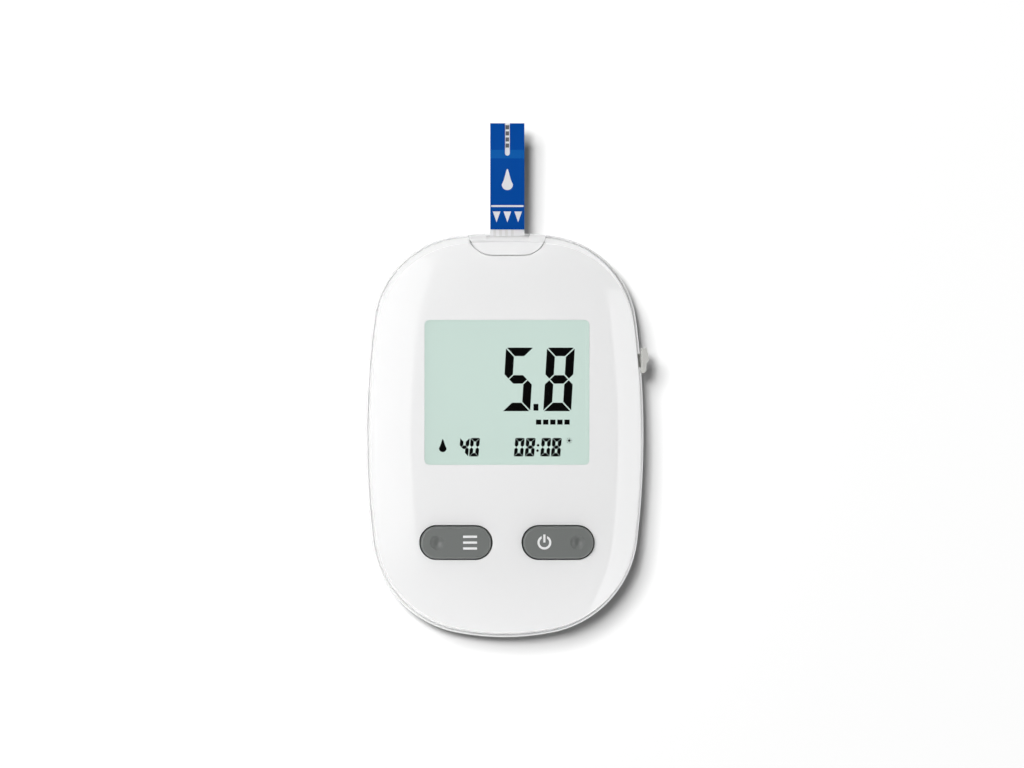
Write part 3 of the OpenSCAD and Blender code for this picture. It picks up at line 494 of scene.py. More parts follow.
streak_scale = 2500
drawn = bpy.data.node_groups.new("drawn_metal", "ShaderNodeTree")
drawn.interface.new_socket("Run", in_out="INPUT", socket_type="NodeSocketVector")
drawn.interface.new_socket("Streak", in_out="OUTPUT", socket_type="NodeSocketFloat")
group_in = drawn.nodes.new("NodeGroupInput")
group_out = drawn.nodes.new("NodeGroupOutput")
place = drawn.nodes.new("ShaderNodeTexCoord")
stretch = drawn.nodes.new("ShaderNodeVectorMath")
stretch.operation = "MULTIPLY"
noise = drawn.nodes.new("ShaderNodeTexNoise")
noise.inputs["Scale"].default_value = streak_scale
noise.inputs["Detail"].default_value = 4
drawn.links.new(place.outputs["Object"], stretch.inputs[0])
drawn.links.new(group_in.outputs["Run"], stretch.inputs[1])
drawn.links.new(stretch.outputs["Vector"], noise.inputs["Vector"])
drawn.links.new(noise.outputs["Fac"], group_out.inputs["Streak"])

can_steel = metal("can_steel", (0.66, 0.66, 0.67), (0.5, 0.5, 0.51), (0.2, 0.35), (1, 0.1, 0.1))
dark_sleeve = plastic("dark_sleeve", (0.018, 0.018, 0.02), (0.03, 0.03, 0.032), (0.12, 0.22))
copper_sleeve = plastic("copper_sleeve", (0.62, 0.28, 0.09), (0.52, 0.22, 0.07), (0.15, 0.25))


cell_z, can_radius, can_length, can_shift = 0.00715, 0.00525, 0.0435, 0.00125
sleeve_edge, copper_start, end_loops = 0.0048, 0.0139, (-0.0195, 0.0222)
nub_rings = [(0.0004, 0), (0.0002, -0.0003), (0.0020, 0), (0.0002, 0.0003)]
nub_rings += [(0.00055, 0), (0.00005, 0.0008), (0.0002, 0.0002)]
flat_rings = [(0.0005, 0), (0.0003, -0.0002), (0.0030, 0), (0.0002, 0.0002)]


def cell(name, y, way):
    """One cell, lying across the case with its nub to the right, or to the left for way -1."""
    bpy.ops.mesh.primitive_cylinder_add(
        vertices=64,
        radius=can_radius,
        depth=can_length,
        location=(way * can_shift, y, cell_z),
        rotation=(0, math.pi / 2, 0),
    )
    piece = named(name)
    bpy.ops.object.mode_set(mode="EDIT")
    pick("FACE", lambda f: f.normal.x * way > 0.9)
    steps_in(nub_rings)
    pick("FACE", lambda f: f.normal.x * way < -0.9)
    steps_in(flat_rings)
    for part in (copper_start, *end_loops):
        bpy.ops.mesh.select_all(action="SELECT")
        bpy.ops.mesh.bisect(plane_co=(way * part, 0, 0), plane_no=(1, 0, 0))
    bpy.ops.object.mode_set(mode="OBJECT")
    broken_edges(piece, edge_break, 50)
    made(piece, 40)
    for material in (dark_sleeve, copper_sleeve, can_steel):
        piece.data.materials.append(material)
    for face in piece.data.polygons:
        x = face.center.x * way
        out = math.hypot(face.center.y - y, face.center.z - cell_z)
        if out < sleeve_edge:
            face.material_index = 2
        elif x > copper_start:
            face.material_index = 1
    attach(piece, "housing")
    return piece


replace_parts(cell("cell_port", -0.00855, 1), "battery_port")
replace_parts(cell("cell_foot", -0.01935, -1), "battery_foot")

# ---- Battery contacts --------------------------------------------------------------------
# Nickel-plated steel: four flat plates in the room's ends, and a cone of spring wire on one
# plate of each pair, wound from a single length.
plate_steel = metal("plate_steel", (0.7, 0.7, 0.69), (0.52, 0.52, 0.5), (0.18, 0.35), (0.1, 1, 1))
paint(nodes["battery_plates"], plate_steel)


def coil(name, place, turn, radii, length, wire, turns):
    """A spring: one ring of wire screwed along, drawn in to its narrow end, and turned."""
    bpy.ops.mesh.primitive_circle_add(
        vertices=10, radius=wire / 2, location=(1, 0, 0), rotation=(math.pi / 2, 0, 0)
    )
    piece = named(name)
    for vertex in piece.data.vertices:
        vertex.co.x += radii[0] - wire / 2 - 1
        vertex.co.z += wire / 2
    wound = piece.modifiers.new("wound", "SCREW")
    wound.angle = turns * 2 * math.pi
    wound.screw_offset = length - wire
    wound.steps = wound.render_steps = turns * 24
    wound.use_merge_vertices = False
    bpy.ops.object.modifier_apply(modifier=wound.name)
    bpy.ops.object.mode_set(mode="EDIT")
    pick("EDGE", lambda e: e.is_boundary)
    bpy.ops.mesh.edge_face_add()
    bpy.ops.object.mode_set(mode="OBJECT")
    narrow = (radii[1] - wire / 2) / (radii[0] - wire / 2) - 1
    for vertex in piece.data.vertices:
        share = min(max((vertex.co.z - wire / 2) / (length - wire), 0), 1)
        out = math.hypot(vertex.co.x, vertex.co.y)
        middle = radii[0] - wire / 2
        drawn_in = (out + middle * narrow * share) / out
        vertex.co.x *= drawn_in
        vertex.co.y *= drawn_in
    piece.data.transform(Matrix.Translation(place) @ Matrix.Rotation(turn[0], 4, turn[1]))
    bpy.ops.object.mode_set(mode="EDIT")
    return made(piece, 60)


spring_wire = metal("spring_wire", (0.68, 0.68, 0.7), (0.5, 0.5, 0.52), (0.15, 0.3))
cones = []
plate_x, cone_radii, cone_length = 0.0240, (0.0035, 0.0023), 0.00335
cone_wire, cone_turns = 0.0006, 4
for way, y in ((1, -0.00855), (-1, -0.01935)):
    cone = coil(
        "cell_spring_port" if way > 0 else "cell_spring_foot",
        (-way * plate_x, y, cell_z),
        (way * math.pi / 2, "Y"),
        cone_radii,
        cone_length,
        cone_wire,
        cone_turns,
    )
    paint(cone, spring_wire)
    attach(cone, "housing")
    cones.append(cone)
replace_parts(cones[0], "battery_springs")

# ---- Rating label ------------------------------------------------------------------------
# A silver polyester label in the shallow recess of the flat back, printed with a plain frame
# and empty ruled fields, and left blank otherwise.
line_width, field_width, field_height = 0.00012, 0.019, 0.005
label = bpy.data.materials.new("label_film")
label.use_nodes = True
tree = label.node_tree
film = tree.nodes["Principled BSDF"]
film.inputs["Roughness"].default_value = 0.35
film.inputs["Metallic"].default_value = 0.35
place = tree.nodes.new("ShaderNodeTexCoord")
rows = tree.nodes.new("ShaderNodeTexBrick")
rows.offset = 0
rows.inputs["Color1"].default_value = (0.72, 0.73, 0.74, 1)
rows.inputs["Color2"].default_value = (0.70, 0.71, 0.72, 1)
rows.inputs["Mortar"].default_value = (0.12, 0.13, 0.14, 1)
rows.inputs["Scale"].default_value = 1
rows.inputs["Mortar Size"].default_value = line_width
rows.inputs["Brick Width"].default_value = field_width
rows.inputs["Row Height"].default_value = field_height
shift = tree.nodes.new("ShaderNodeMapping")
shift.inputs["Location"].default_value = (-label_x[0], -label_y[0], 0)
tree.links.new(place.outputs["Object"], shift.inputs["Vector"])
tree.links.new(shift.outputs["Vector"], rows.inputs["Vector"])
tree.links.new(rows.outputs["Color"], film.inputs["Base Color"])
paint(nodes["rating_label"], label)

# ---- Case screws -------------------------------------------------------------------------
# Four zinc-plated cross-head screws, sunk deep in the back, that pull the covers together.
screw_steel = metal("screw_steel", (0.6, 0.6, 0.61), (0.42, 0.42, 0.44), (0.25, 0.45))
paint(nodes["case_screws"], screw_steel)
paint(nodes["board_screws"], screw_steel)

# ---- Main board and its parts ------------------------------------------------------------
# A green glass-fibre board with the processor, the measuring chip, the crystal can, the
# buzzer and the two switches soldered on it. All of it is hidden while the case is closed.
track_gap, track_length, track_pitch, track_lift = 0.00015, 0.004, 0.0011, 0.00003
mask = bpy.data.materials.new("solder_mask")
mask.use_nodes = True
tree = mask.node_tree
board = tree.nodes["Principled BSDF"]
board.inputs["Roughness"].default_value = 0.3
place = tree.nodes.new("ShaderNodeTexCoord")
tracks = tree.nodes.new("ShaderNodeTexBrick")
tracks.inputs["Color1"].default_value = (0.006, 0.11, 0.035, 1)
tracks.inputs["Color2"].default_value = (0.009, 0.14, 0.045, 1)
tracks.inputs["Mortar"].default_value = (0.02, 0.2, 0.07, 1)
tracks.inputs["Scale"].default_value = 1
tracks.inputs["Mortar Size"].default_value = track_gap
tracks.inputs["Brick Width"].default_value = track_length
tracks.inputs["Row Height"].default_value = track_pitch
relief = tree.nodes.new("ShaderNodeBump")
relief.inputs["Strength"].default_value = 0.4
relief.inputs["Distance"].default_value = track_lift
tree.links.new(place.outputs["Object"], tracks.inputs["Vector"])
tree.links.new(tracks.outputs["Color"], board.inputs["Base Color"])
tree.links.new(tracks.outputs["Fac"], relief.inputs["Height"])
tree.links.new(relief.outputs["Normal"], board.inputs["Normal"])
paint(nodes["main_board"], mask)
chip_resin = plastic("chip_resin", (0.02, 0.02, 0.021), (0.032, 0.032, 0.033), (0.45, 0.6), 0.4)
resin_parts = ("processor", "measuring_chip", "buzzer", "switch_bases")
for name in resin_parts + ("plunger_left", "plunger_right"):
    paint(nodes[name], chip_resin)
paint(nodes["crystal"], can_steel)
zebra = plastic("zebra_silicone", (0.09, 0.09, 0.09), (0.13, 0.13, 0.13), (0.5, 0.65), 0.3)
paint(nodes["zebra_connectors"], zebra)
frame_abs = plastic("frame_abs", (0.85, 0.85, 0.84), (0.82, 0.82, 0.81), (0.35, 0.5), 0.2)
paint(nodes["lcd_frame"], frame_abs)

# ---- Front cover -------------------------------------------------------------------------
# The upper half of the case in the same glossy white ABS: a steep wall, a crease, and a face
# that rolls up to its flat middle. The window and the buttons have their own openings.
foot_inset, foot_z, foot_height, wall_step = 0.0006, 0.0103, 0.0005, (0.0003375, 0.00645)
crease = [(0.00004, 0.00014), (0.00007, 0.00011), (0.00009, 0.00008), (0.0001125, 0.000044)]
roll_width, roll_height = 0.014, 0.0035
front = case_outline("front_cover_shell", foot_inset, foot_z)
rise(foot_height)
steps_in([wall_step])


def shorter():
    """Draws the picked face in at its two ends, more at the port, where the walls lean more."""
    bpy.ops.transform.resize(value=(1, 0.98638, 1), center_override=(0, 0, 0))
    bpy.ops.transform.translate(value=(0, -0.0004, 0))


shorter()
steps_in(crease)
roll = [0.00025, 0.0007, 0.0013, 0.002, 0.0028, 0.0037, 0.0047, 0.0058, 0.007]
roll += [0.0082, 0.0094, 0.0106, 0.0118, 0.013, 0.014]
drop = [roll_height * (1 - t / roll_width) ** 2 for t in roll]
steps_in([(roll[i + 1] - roll[i], drop[i] - drop[i + 1]) for i in range(len(roll) - 1)])
land_width, step_height, lip_width, lip_height = 0.00035, 0.0003, 0.0007, 0.0015
pick_end(False)
steps_in([(land_width, 0)])
rise(-step_height)
steps_in([(lip_width, 0)])
rise(-lip_height)
made(front)
skin_shell = front.copy()
skin_shell.data = front.data.copy()
bpy.context.scene.collection.objects.link(skin_shell)
port = front.copy()
port.data = front.data.copy()
bpy.context.scene.collection.objects.link(port)

above = 0.03  # a height clear of the whole case
hollow = case_outline("hollow", 0.0022, 0.0075)
rise(0.0025)
steps_in([(0.0004, 0.006506)])
shorter()
steps_in([(0.000456, 0.0002), (0.001338, 0.000569), (0.002, 0.000725)])
steps_in([(0.002657, 0.00073), (0.002647, 0.000464), (0.003302, 0.000206)])
made(hollow)
# The frames round the window and the buttons, and the screw posts, stay solid in the hollow.
cut(hollow, block((-0.0203, 0.0203), (-0.00855, 0.02755), (0.019, above), corner=0.0031))
button_x, frame_reach, opening_reach = 0.01135, 0.00935, 0.00815
for x in (-button_x, button_x):
    sides = (x - frame_reach, x + frame_reach)
    cut(hollow, block(sides, (-0.0289, -0.0187), (0.018615, above), 0.0051))
for x, y in screw_places:
    cut(hollow, rod(0.0022, (0.009, above), x=x, y=y))
board_screws = ((-0.0225, 0.01997), (0.0225, 0.003916), (0, -0.029))
for x, y in board_screws:
    cut(hollow, rod(0.002, (0.015, above), x=x, y=y))
# The ejector's return spring rests against this rib.
cut(hollow, block((0.0231, 0.0253), (0.027, 0.028), (0.0152, above)))
cut(front, hollow)
# The window's bed, and the opening under it that leaves a ledge all round.
sight_x, sight_y = (-0.0178, 0.0178), (-0.00605, 0.02505)
cut(front, block((-0.01835, 0.01835), (-0.0066, 0.0256), (0.0196, above), corner=0.00115))
cut(front, block(sight_x, sight_y, (0.017, 0.0205), corner=0.0011))
for x in (-button_x, button_x):
    sides = (x - opening_reach, x + opening_reach)
    cut(front, block(sides, (-0.0277, -0.0199), (0.01, above), 0.0039, 16))
# A fine groove round the port cover: a wider opening that goes only skin deep.
groove_depth = 0.00016
groove = block((-0.00864, 0.00924), (0.03966, 0.065), (0.014, above), 0.00554, 16)
sunk = skin_shell.copy()
sunk.data = skin_shell.data.copy()
sunk.data.transform(Matrix.Translation((0, 0, -groove_depth)))
bpy.context.scene.collection.objects.link(sunk)
cut(groove, sunk)
cut(front, groove)
cut(front, block((-0.00842, 0.00902), (0.03988, 0.065), (0.01238, above), 0.00532, 16))
# The slot in the right side for the ejector's catch, and the screw holes.
cut(front, block((0.026, 0.04), (0.0148, 0.0234), (0.0153, 0.0166)))
for x, y in screw_places:
    cut(front, rod(0.001, (0.001, 0.016), x=x, y=y))
for x, y in board_screws:
    cut(front, rod(0.0008, (0.01, 0.0182), x=x, y=y))
made(front)
keep_shading(front, skin_shell)
paint(front, white_abs)
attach(front, "housing")
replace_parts(front, "front_cover")

# ---- Port cover --------------------------------------------------------------------------
# A small white ABS piece set into the end of the front cover. It runs on with the cover and
# then reaches out flat to the end of the case, as two prongs with a notch between them that
# guides the strip into the slot.
strip_x, notch_mouth = 0.0003, 0.0104
port.name = port.data.name = "port_cover_lip"
hood = case_outline("hood", 0.0001, 0.0125)
rise(0.0044)
steps_in(rounding(0.0003, 0.0003, 4))
made(hood)
cut(port, hood, "UNION")
cut(port, block((-0.0083, 0.0089), (0.04, 0.065), (0.0125, above), 0.0052, 16), "INTERSECT")
cut(port, block((-0.00375, 0.00435), (0.035, 0.05), (0.01545, 0.0165)))
# The notch has a shallow inner step and a deep outer one, and both widen to the same mouth.
for y, z, width in ((0.0434, 0.0169, 0.0089), (0.0442, 0.011, 0.00965)):
    notch = block((strip_x - width / 2, strip_x + width / 2), (y, half_length), (z, above))
    bpy.ops.object.mode_set(mode="EDIT")
    pick("VERT", lambda v: v.co.y > 0.0449)
    bpy.ops.transform.resize(value=(notch_mouth / width, 1, 1), center_override=(strip_x, 0, 0))
    bpy.ops.object.mode_set(mode="OBJECT")
    cut(port, notch)
made(port)
keep_shading(port, skin_shell)
bpy.data.objects.remove(skin_shell)
paint(port, white_abs)
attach(port, "housing")
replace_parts(port, "port_cover")

# ---- Strip connector ---------------------------------------------------------------------
# An ivory nylon housing on the board behind the port, with gold-plated contact springs that
# press on the strip's electrodes.
nylon = plastic("ivory_nylon", (0.74, 0.69, 0.55), (0.7, 0.65, 0.51), (0.35, 0.5), 0.2)
paint(nodes["strip_connector"], nylon)
gold = metal("gold_plating", (0.83, 0.6, 0.25), (0.7, 0.48, 0.18), (0.15, 0.3), (1, 0.1, 1))
paint(nodes["strip_contacts"], gold)

# ---- Display -----------------------------------------------------------------------------
# A reflective liquid crystal panel, pale grey-green, with a painted glow that lifts the shade
# the window's frame casts on it. Its lit segments are black: a plain reading, a smaller
# figure, the time, and simple signs.
panel = bpy.data.materials.new("display_glass")
panel.use_nodes = True
tree = panel.node_tree
surface = tree.nodes["Principled BSDF"]
surface.inputs["Roughness"].default_value = 0.3
surface.inputs["Emission Strength"].default_value = 1
place = tree.nodes.new("ShaderNodeTexCoord")
speckle = tree.nodes.new("ShaderNodeTexNoise")
speckle.inputs["Scale"].default_value = 9000
speckle.inputs["Detail"].default_value = 1
tint = tree.nodes.new("ShaderNodeMix")
tint.data_type = "RGBA"
tint.inputs["A"].default_value = (0.082, 0.100, 0.092, 1)
tint.inputs["B"].default_value = (0.078, 0.096, 0.088, 1)
# Painted glow: an even emission that stands in for light and lifts the frame's shade on the
# panel.
painted_glow = tree.nodes.new("ShaderNodeMix")
painted_glow.data_type = "RGBA"
painted_glow.inputs["A"].default_value = (0.577, 0.707, 0.654, 1)
painted_glow.inputs["B"].default_value = (0.567, 0.697, 0.644, 1)
tree.links.new(place.outputs["Object"], speckle.inputs["Vector"])
for mix, socket in ((tint, "Base Color"), (painted_glow, "Emission Color")):
    tree.links.new(speckle.outputs["Fac"], mix.inputs["Factor"])
    tree.links.new(mix.outputs["Result"], surface.inputs[socket])
paint(nodes["lcd_panel"], panel)
ink = plastic("segment_black", (0, 0, 0), (0.001, 0.001, 0.001), (0.5, 0.6))
ink.node_tree.nodes["Principled BSDF"].inputs["Specular IOR Level"].default_value = 0
ink_z, near_zero = 0.01882, 1e-7
signs = []


def flat(x, y, width, height, z=ink_z):
    """A rectangular mark."""
    bpy.ops.mesh.primitive_plane_add(size=1, location=(x, y, z))
    bpy.context.object.scale = (width, height, 1)
    return named("mark")


def digit(x, y, width, height, bar, gap, lit, lean):
    """One seven-segment figure, cut from a flat frame with a bar across its middle."""
    bevel = bar / 5
    width, height, bar = width + gap, height + gap, bar + gap
    piece = flat(0, 0, width, height)
    bpy.ops.object.mode_set(mode="EDIT")
    bpy.ops.mesh.select_all(action="SELECT")
    bpy.ops.mesh.inset(thickness=bar, depth=0)
    bpy.ops.mesh.delete(type="FACE")
    bpy.ops.mesh.select_all(action="SELECT")
    bpy.ops.mesh.bisect(plane_co=(0, 0, ink_z), plane_no=(0, 1, 0))
    pick("EDGE", lambda e: all(abs(v.co.y) < near_zero for v in e.verts))
    bpy.ops.mesh.subdivide(number_cuts=1)
    pick("EDGE", lambda e: all(abs(v.co.y) < near_zero for v in e.verts))
    bpy.ops.mesh.edge_split()
    middle = width / 2 - bar / 2
    for way in (-1, 1):
        pick(
            "VERT",
            lambda v: abs(v.co.y) < near_zero
            and abs(abs(v.co.x) - middle) > bar / 4
            and sum(f.calc_center_median().y for f in v.link_faces) * way > 0,
        )
        bpy.ops.transform.translate(value=(0, way * bar / 2, 0))
    bpy.ops.object.mode_set(mode="OBJECT")
    crossbar = flat(0, 0, width - 2 * bar, bar)
    bpy.ops.object.mode_set(mode="EDIT")
    pick("EDGE", lambda e: abs(e.verts[0].co.x - e.verts[1].co.x) < near_zero)
    bpy.ops.mesh.subdivide(number_cuts=1)
    pick("EDGE", lambda e: all(abs(v.co.y) < near_zero for v in e.verts))
    bpy.ops.mesh.dissolve_edges(use_verts=False)
    for way in (-1, 1):
        pick("VERT", lambda v: abs(v.co.y) < near_zero and v.co.x * way > 0)
        bpy.ops.transform.translate(value=(way * bar / 2, 0, 0))
    bpy.ops.object.mode_set(mode="OBJECT")
    bpy.ops.object.select_all(action="DESELECT")
    crossbar.select_set(True)
    piece.select_set(True)
    bpy.context.view_layer.objects.active = piece
    bpy.ops.object.join()
    bpy.ops.object.mode_set(mode="EDIT")
    half = height / 4
    spots = {
        "a": (0, height / 2 - bar / 2),
        "b": (middle, half),
        "c": (middle, -half),
        "d": (0, bar / 2 - height / 2),
        "e": (-middle, -half),
        "f": (-middle, half),
        "g": (0, 0),
    }
    off = [spots[s] for s in spots if s not in lit]
    pick(
        "FACE",
        lambda f: any(
            math.hypot(f.calc_center_median().x - u, f.calc_center_median().y - v) < bar
            for u, v in off
        ),
    )
    bpy.ops.mesh.delete(type="FACE")
    bpy.ops.mesh.select_all(action="SELECT")
    bpy.ops.mesh.inset(thickness=gap / 2, depth=0, use_individual=True)
    bpy.ops.mesh.select_all(action="INVERT")
    bpy.ops.mesh.delete(type="FACE")
    for way in (-1, 1):
        bpy.ops.mesh.select_all(action="SELECT")
        bpy.ops.mesh.bisect(
            plane_co=(way * ((width - gap) / 2 - bevel), (height - gap) / 2, ink_z),
            plane_no=(way, 1, 0),
            clear_outer=True,
        )
    bpy.ops.object.mode_set(mode="OBJECT")
    slant = Matrix.Identity(4)
    slant[0][1] = math.tan(math.radians(lean))
    piece.data.transform(Matrix.Translation((x, y, 0)) @ slant)
    signs.append(piece)


shapes = {"0": "abcdef", "4": "bcfg", "5": "acdfg", "8": "abcdefg"}
big_y, big_size, big_lean = 0.01238, (0.0062, 0.0141, 0.00188, 0.00026), 3.4
for figure, x in (("5", 0.00254), ("8", 0.01164)):
    digit(x, big_y, *big_size, shapes[figure], big_lean)
small_y, small_size, small_lean = -0.00267, (0.00208, 0.0041, 0.00078, 0.00006), 5
small = [("4", -0.00943), ("0", -0.00714), ("0", 0.00279)]
small += [("8", 0.00522), ("0", 0.00867), ("8", 0.01104)]
for figure, x in small:
    digit(x, small_y, *small_size, shapes[figure], small_lean)


def disc(x, y, radius, point=0, z=ink_z):
    """A round mark, whose upper half can be drawn out to a point, as on a drop."""
    bpy.ops.mesh.primitive_circle_add(
        vertices=48, radius=radius, fill_type="NGON", location=(0, 0, z)
    )
    piece = named("mark")
    for vertex in piece.data.vertices:
        up = max(vertex.co.y / radius, 0) if point else 0
        vertex.co.x *= 1 - 0.45 * up
        vertex.co.y += point * up**3
    piece.data.transform(Matrix.Translation((x, y, 0)))
    return piece


signs.append(flat(0.0065, 0.00619, 0.0011, 0.0015))
signs.append(disc(0.00698, -0.00224, 0.00028))
signs.append(disc(0.00686, -0.00342, 0.00028))
signs.append(disc(-0.0142, -0.00290, 0.00085, 0.0012))
sun_x, sun_y, rays = 0.0139, -0.0012, 8
signs.append(disc(sun_x, sun_y, 0.00028))
for i in range(rays):
    ray = flat(0, 0.00052, 0.00013, 0.00024)
    turned = Matrix.Rotation(i * math.pi / 4, 4, "Z")
    ray.data.transform(Matrix.Translation((sun_x, sun_y, 0)) @ turned)
    signs.append(ray)
for i in range(5):
    signs.append(flat(0.0071 + i * 0.00158, 0.0029, 0.00118, 0.0011))
bpy.ops.object.select_all(action="DESELECT")
for sign in signs:
    sign.select_set(True)
bpy.context.view_layer.objects.active = signs[0]
bpy.ops.object.join()
segments = bpy.context.object
segments.name = segments.data.name = "display_segments"
bpy.ops.object.mode_set(mode="EDIT")
bpy.ops.mesh.select_all(action="SELECT")
bpy.ops.mesh.normals_make_consistent(inside=False)
bpy.ops.object.mode_set(mode="OBJECT")
if segments.data.polygons[0].normal.z < 0:
    segments.data.flip_normals()
paint(segments, ink)
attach(segments, "housing")
bpy.ops.object.select_all(action="DESELECT")

# ---- Window ------------------------------------------------------------------------------
# A clear acrylic plate, almost flush with the face, on a narrow ledge. Its underside has a
# printed border in the display's own colour where it lies on the ledge.
lens_corner, lens_break = 0.0011, 0.0001
lens = block((-0.0183, 0.0183), (-0.00655, 0.02555), (0.01962, 0.0209), lens_corner, 6)
lens.name = lens.data.name = "window_plate"
broken_edges(lens, lens_break, 60)
made(lens)
clear = bpy.data.materials.new("clear_acrylic")
clear.use_nodes = True
tree = clear.node_tree
surface = tree.nodes["Principled BSDF"]
surface.inputs["Base Color"].default_value = (0.985, 0.99, 0.985, 1)
surface.inputs["Roughness"].default_value = 0.02
surface.inputs["IOR"].default_value = 1.49
surface.inputs["Specular IOR Level"].default_value = 0.15
surface.inputs["Transmission Weight"].default_value = 1
path = tree.nodes.new("ShaderNodeLightPath")
through = tree.nodes.new("ShaderNodeBsdfTransparent")
blend = tree.nodes.new("ShaderNodeMixShader")
tree.links.new(path.outputs["Is Shadow Ray"], blend.inputs[0])
tree.links.new(surface.outputs[0], blend.inputs[1])
tree.links.new(through.outputs[0], blend.inputs[2])
tree.links.new(blend.outputs[0], tree.nodes["Material Output"].inputs["Surface"])
paint(lens, clear)
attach(lens, "housing")
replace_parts(lens, "window_lens")
border = block((-0.01828, 0.01828), (-0.00653, 0.02553), (0.01959, 0.01961), lens_corner, 6)
cut(border, block(sight_x, sight_y, (0.019, 0.02), lens_corner))
border.name = border.data.name = "window_border_print"
made(border)
# The border glows with the panel's painted light, which hides the ledge's shade under the plate's
# edge.
paint(border, panel)
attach(border, "housing")

# ---- Buttons -----------------------------------------------------------------------------
# Two long caps in grey ABS with rounded tops. Each has a finger dimple at its outer end and
# an inlaid white sign at its inner end, and a collar under the face keeps it in.
grey_light, grey_dark = (0.187, 0.197, 0.191), (0.179, 0.189, 0.183)
grey_abs = plastic("grey_abs", grey_light, grey_dark, (0.25, 0.35), 0.25, 3000)
icon_white = plastic("icon_white", (0.9, 0.9, 0.9), (0.86, 0.86, 0.86), (0.3, 0.4), 0.1)
collar_reach, collar_y, collar_z = 0.00885, (-0.0284, -0.0192), (0.017715, 0.018515)
collar_corner, collar_width, cap_rise = 0.0046, 0.00102, 0.002485
top_height, top_width = 0.0006, 0.00045
button_y, stud_radius = -0.0238, 0.002
dimple_radius, dimple_out, dimple_z = 0.0022, 0.00425, 0.023055
sign_lift = 0.0001
for side, word in ((-1, "left"), (1, "right")):
    x = side * button_x
    cap = block((x - collar_reach, x + collar_reach), collar_y, collar_z, collar_corner, 20)
    cap.name = cap.data.name = "button_cap_" + word
    bpy.ops.object.mode_set(mode="EDIT")
    pick_end(True)
    steps_in([(collar_width, 0)])
    rise(cap_rise)
    steps_in(rounding(top_height, top_width, 5))
    made(cap)
    bpy.ops.mesh.primitive_uv_sphere_add(
        segments=64,
        ring_count=32,
        radius=dimple_radius,
        location=(x + side * dimple_out, button_y, dimple_z),
    )
    cut(cap, named("tool"))
    inlay = node_copy("icon_" + word, "tool")
    inlay.data.transform(Matrix.Translation((0, 0, sign_lift)))
    sink = inlay.copy()
    sink.data = inlay.data.copy()
    sink.data.transform(Matrix.Translation((0, 0, -sign_lift)))
    bpy.context.scene.collection.objects.link(sink)
    cut(cap, inlay)
    cut(cap, sink)
    cut(cap, rod(stud_radius, (0.0174, 0.0178), x=x, y=button_y), "UNION")
    made(cap)
    paint(cap, grey_abs)
    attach(cap, word + "_button")
    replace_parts(cap, "button_" + word)
    paint(nodes["icon_" + word], icon_white)

# ---- Ejector -----------------------------------------------------------------------------
# A slider in warm light grey ABS. Its thumb catch stands out of the right side, and its arm
# runs round the display to the strip's end. A small wire spring brings it back.
catch_abs = plastic("catch_abs", (0.60, 0.60, 0.575), (0.56, 0.56, 0.535), (0.15, 0.25), 0.1)
slider = node_copy("ejector_slider", "ejector_catch")
broken_edges(slider, edge_break)
made(slider)
paint(slider, catch_abs)
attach(slider, "ejector")
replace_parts(slider, "ejector_slider")
spring_place, spring_radius, spring_length = (0.0242, 0.0201, 0.016), 0.0008, 0.0068
spring_wire_width, spring_turns = 0.00025, 11
spring = coil(
    "return_spring",
    spring_place,
    (-math.pi / 2, "X"),
    (spring_radius, spring_radius),
    spring_length,
    spring_wire_width,
    spring_turns,
)
paint(spring, spring_wire)
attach(spring, "housing")
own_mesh(spring)
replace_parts(spring, "ejector_spring")

# ---- Test strip --------------------------------------------------------------------------
# A white polyester strip with a printed blue film over its outer part. The sample channel
# runs in from the tip, with carbon electrodes in it and bare tracks at the port end.
strip_pet = plastic("strip_pet", (0.86, 0.86, 0.87), (0.82, 0.82, 0.83), (0.3, 0.4), 0.1)
paint(nodes["strip_base"], strip_pet)


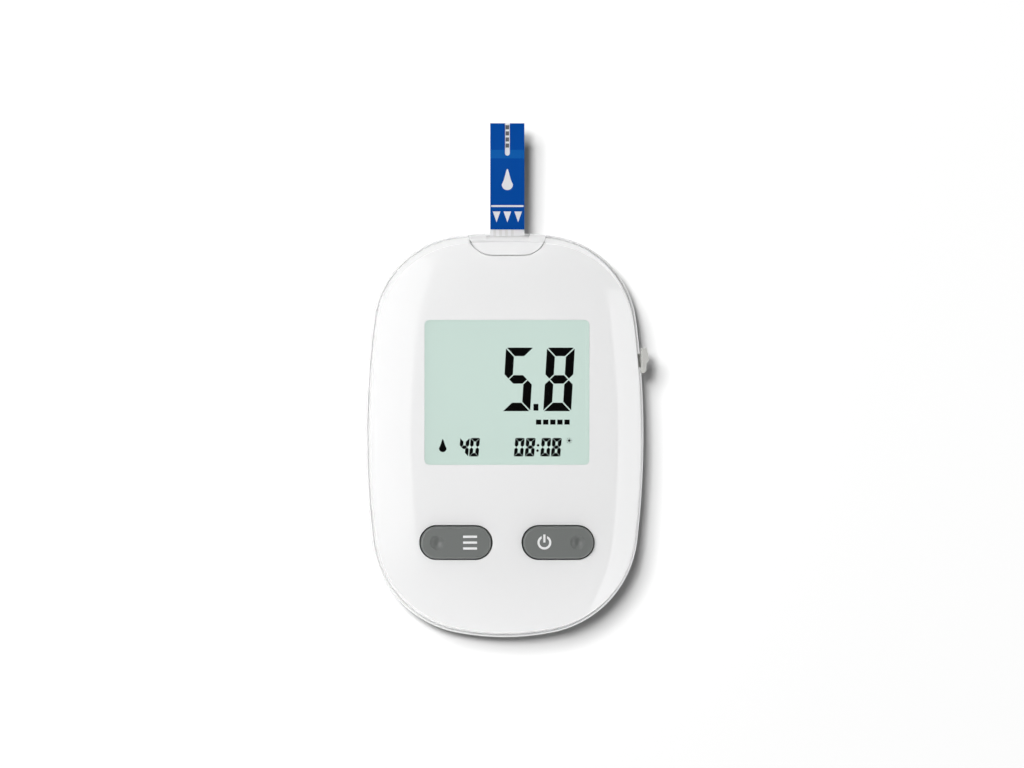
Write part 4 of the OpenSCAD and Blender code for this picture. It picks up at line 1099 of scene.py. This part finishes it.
def banded(material, light, dark, start, end):
    """Gives the material another colour between two places along the strip."""
    tree = material.node_tree
    place = tree.nodes.new("ShaderNodeTexCoord")
    along = tree.nodes.new("ShaderNodeSeparateXYZ")
    band = tree.nodes.new("ShaderNodeMath")
    band.operation = "COMPARE"
    band.inputs[1].default_value = (start + end) / 2
    band.inputs[2].default_value = (end - start) / 2
    other = tree.nodes.new("ShaderNodeMix")
    other.data_type = "RGBA"
    other.inputs["A"].default_value = (*light, 1)
    other.inputs["B"].default_value = (*dark, 1)
    choice = tree.nodes.new("ShaderNodeMix")
    choice.data_type = "RGBA"
    color = tree.nodes["Principled BSDF"].inputs["Base Color"]
    tint = color.links[0].from_node
    tree.links.new(place.outputs["Object"], along.inputs[0])
    tree.links.new(along.outputs["Y"], band.inputs[0])
    tree.links.new(tint.inputs["Factor"].links[0].from_socket, other.inputs["Factor"])
    tree.links.new(band.outputs[0], choice.inputs["Factor"])
    tree.links.new(tint.outputs["Result"], choice.inputs["A"])
    tree.links.new(other.outputs["Result"], choice.inputs["B"])
    tree.links.new(choice.outputs["Result"], color)


carbon = plastic("carbon_print", (0.09, 0.09, 0.1), (0.14, 0.14, 0.15), (0.5, 0.65), 0.3)
banded(carbon, (0.78, 0.78, 0.77), (0.72, 0.72, 0.71), 0.02, 0.052)
paint(nodes["strip_electrodes"], carbon)
blue = plastic("blue_film", (0.001, 0.062, 0.325), (0.002, 0.067, 0.34), (0.35, 0.45), 0.1)
blue.node_tree.nodes["Principled BSDF"].inputs["Specular IOR Level"].default_value = 0.05
banded(blue, (0.005, 0.100, 0.385), (0.006, 0.106, 0.40), 0.0615, 0.0634)
paint(nodes["strip_film"], blue)
prints = []
film_z, arrow_y = 0.01626, 0.0485
prints.append(flat(strip_x, 0.0509, 0.0072, 0.0004, film_z))
for x in (-0.0021, strip_x, 0.0027):
    mark = flat(x, arrow_y, 0.0017, 0.0024, film_z)
    bpy.ops.object.mode_set(mode="EDIT")
    pick("VERT", lambda v: v.co.y < arrow_y)
    bpy.ops.mesh.merge(type="CENTER")
    bpy.ops.object.mode_set(mode="OBJECT")
    prints.append(mark)
prints.append(disc(strip_x, 0.0557, 0.00125, 0.0022, film_z))
bpy.ops.object.select_all(action="DESELECT")
for mark in prints:
    mark.select_set(True)
bpy.context.view_layer.objects.active = prints[0]
bpy.ops.object.join()
strip_print = bpy.context.object
strip_print.name = strip_print.data.name = "strip_print"
print_white = plastic("print_white", (0.78, 0.78, 0.8), (0.74, 0.74, 0.76), (0.3, 0.4), 0.1)
paint(strip_print, print_white)
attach(strip_print, "test_strip")
bpy.ops.object.select_all(action="DESELECT")
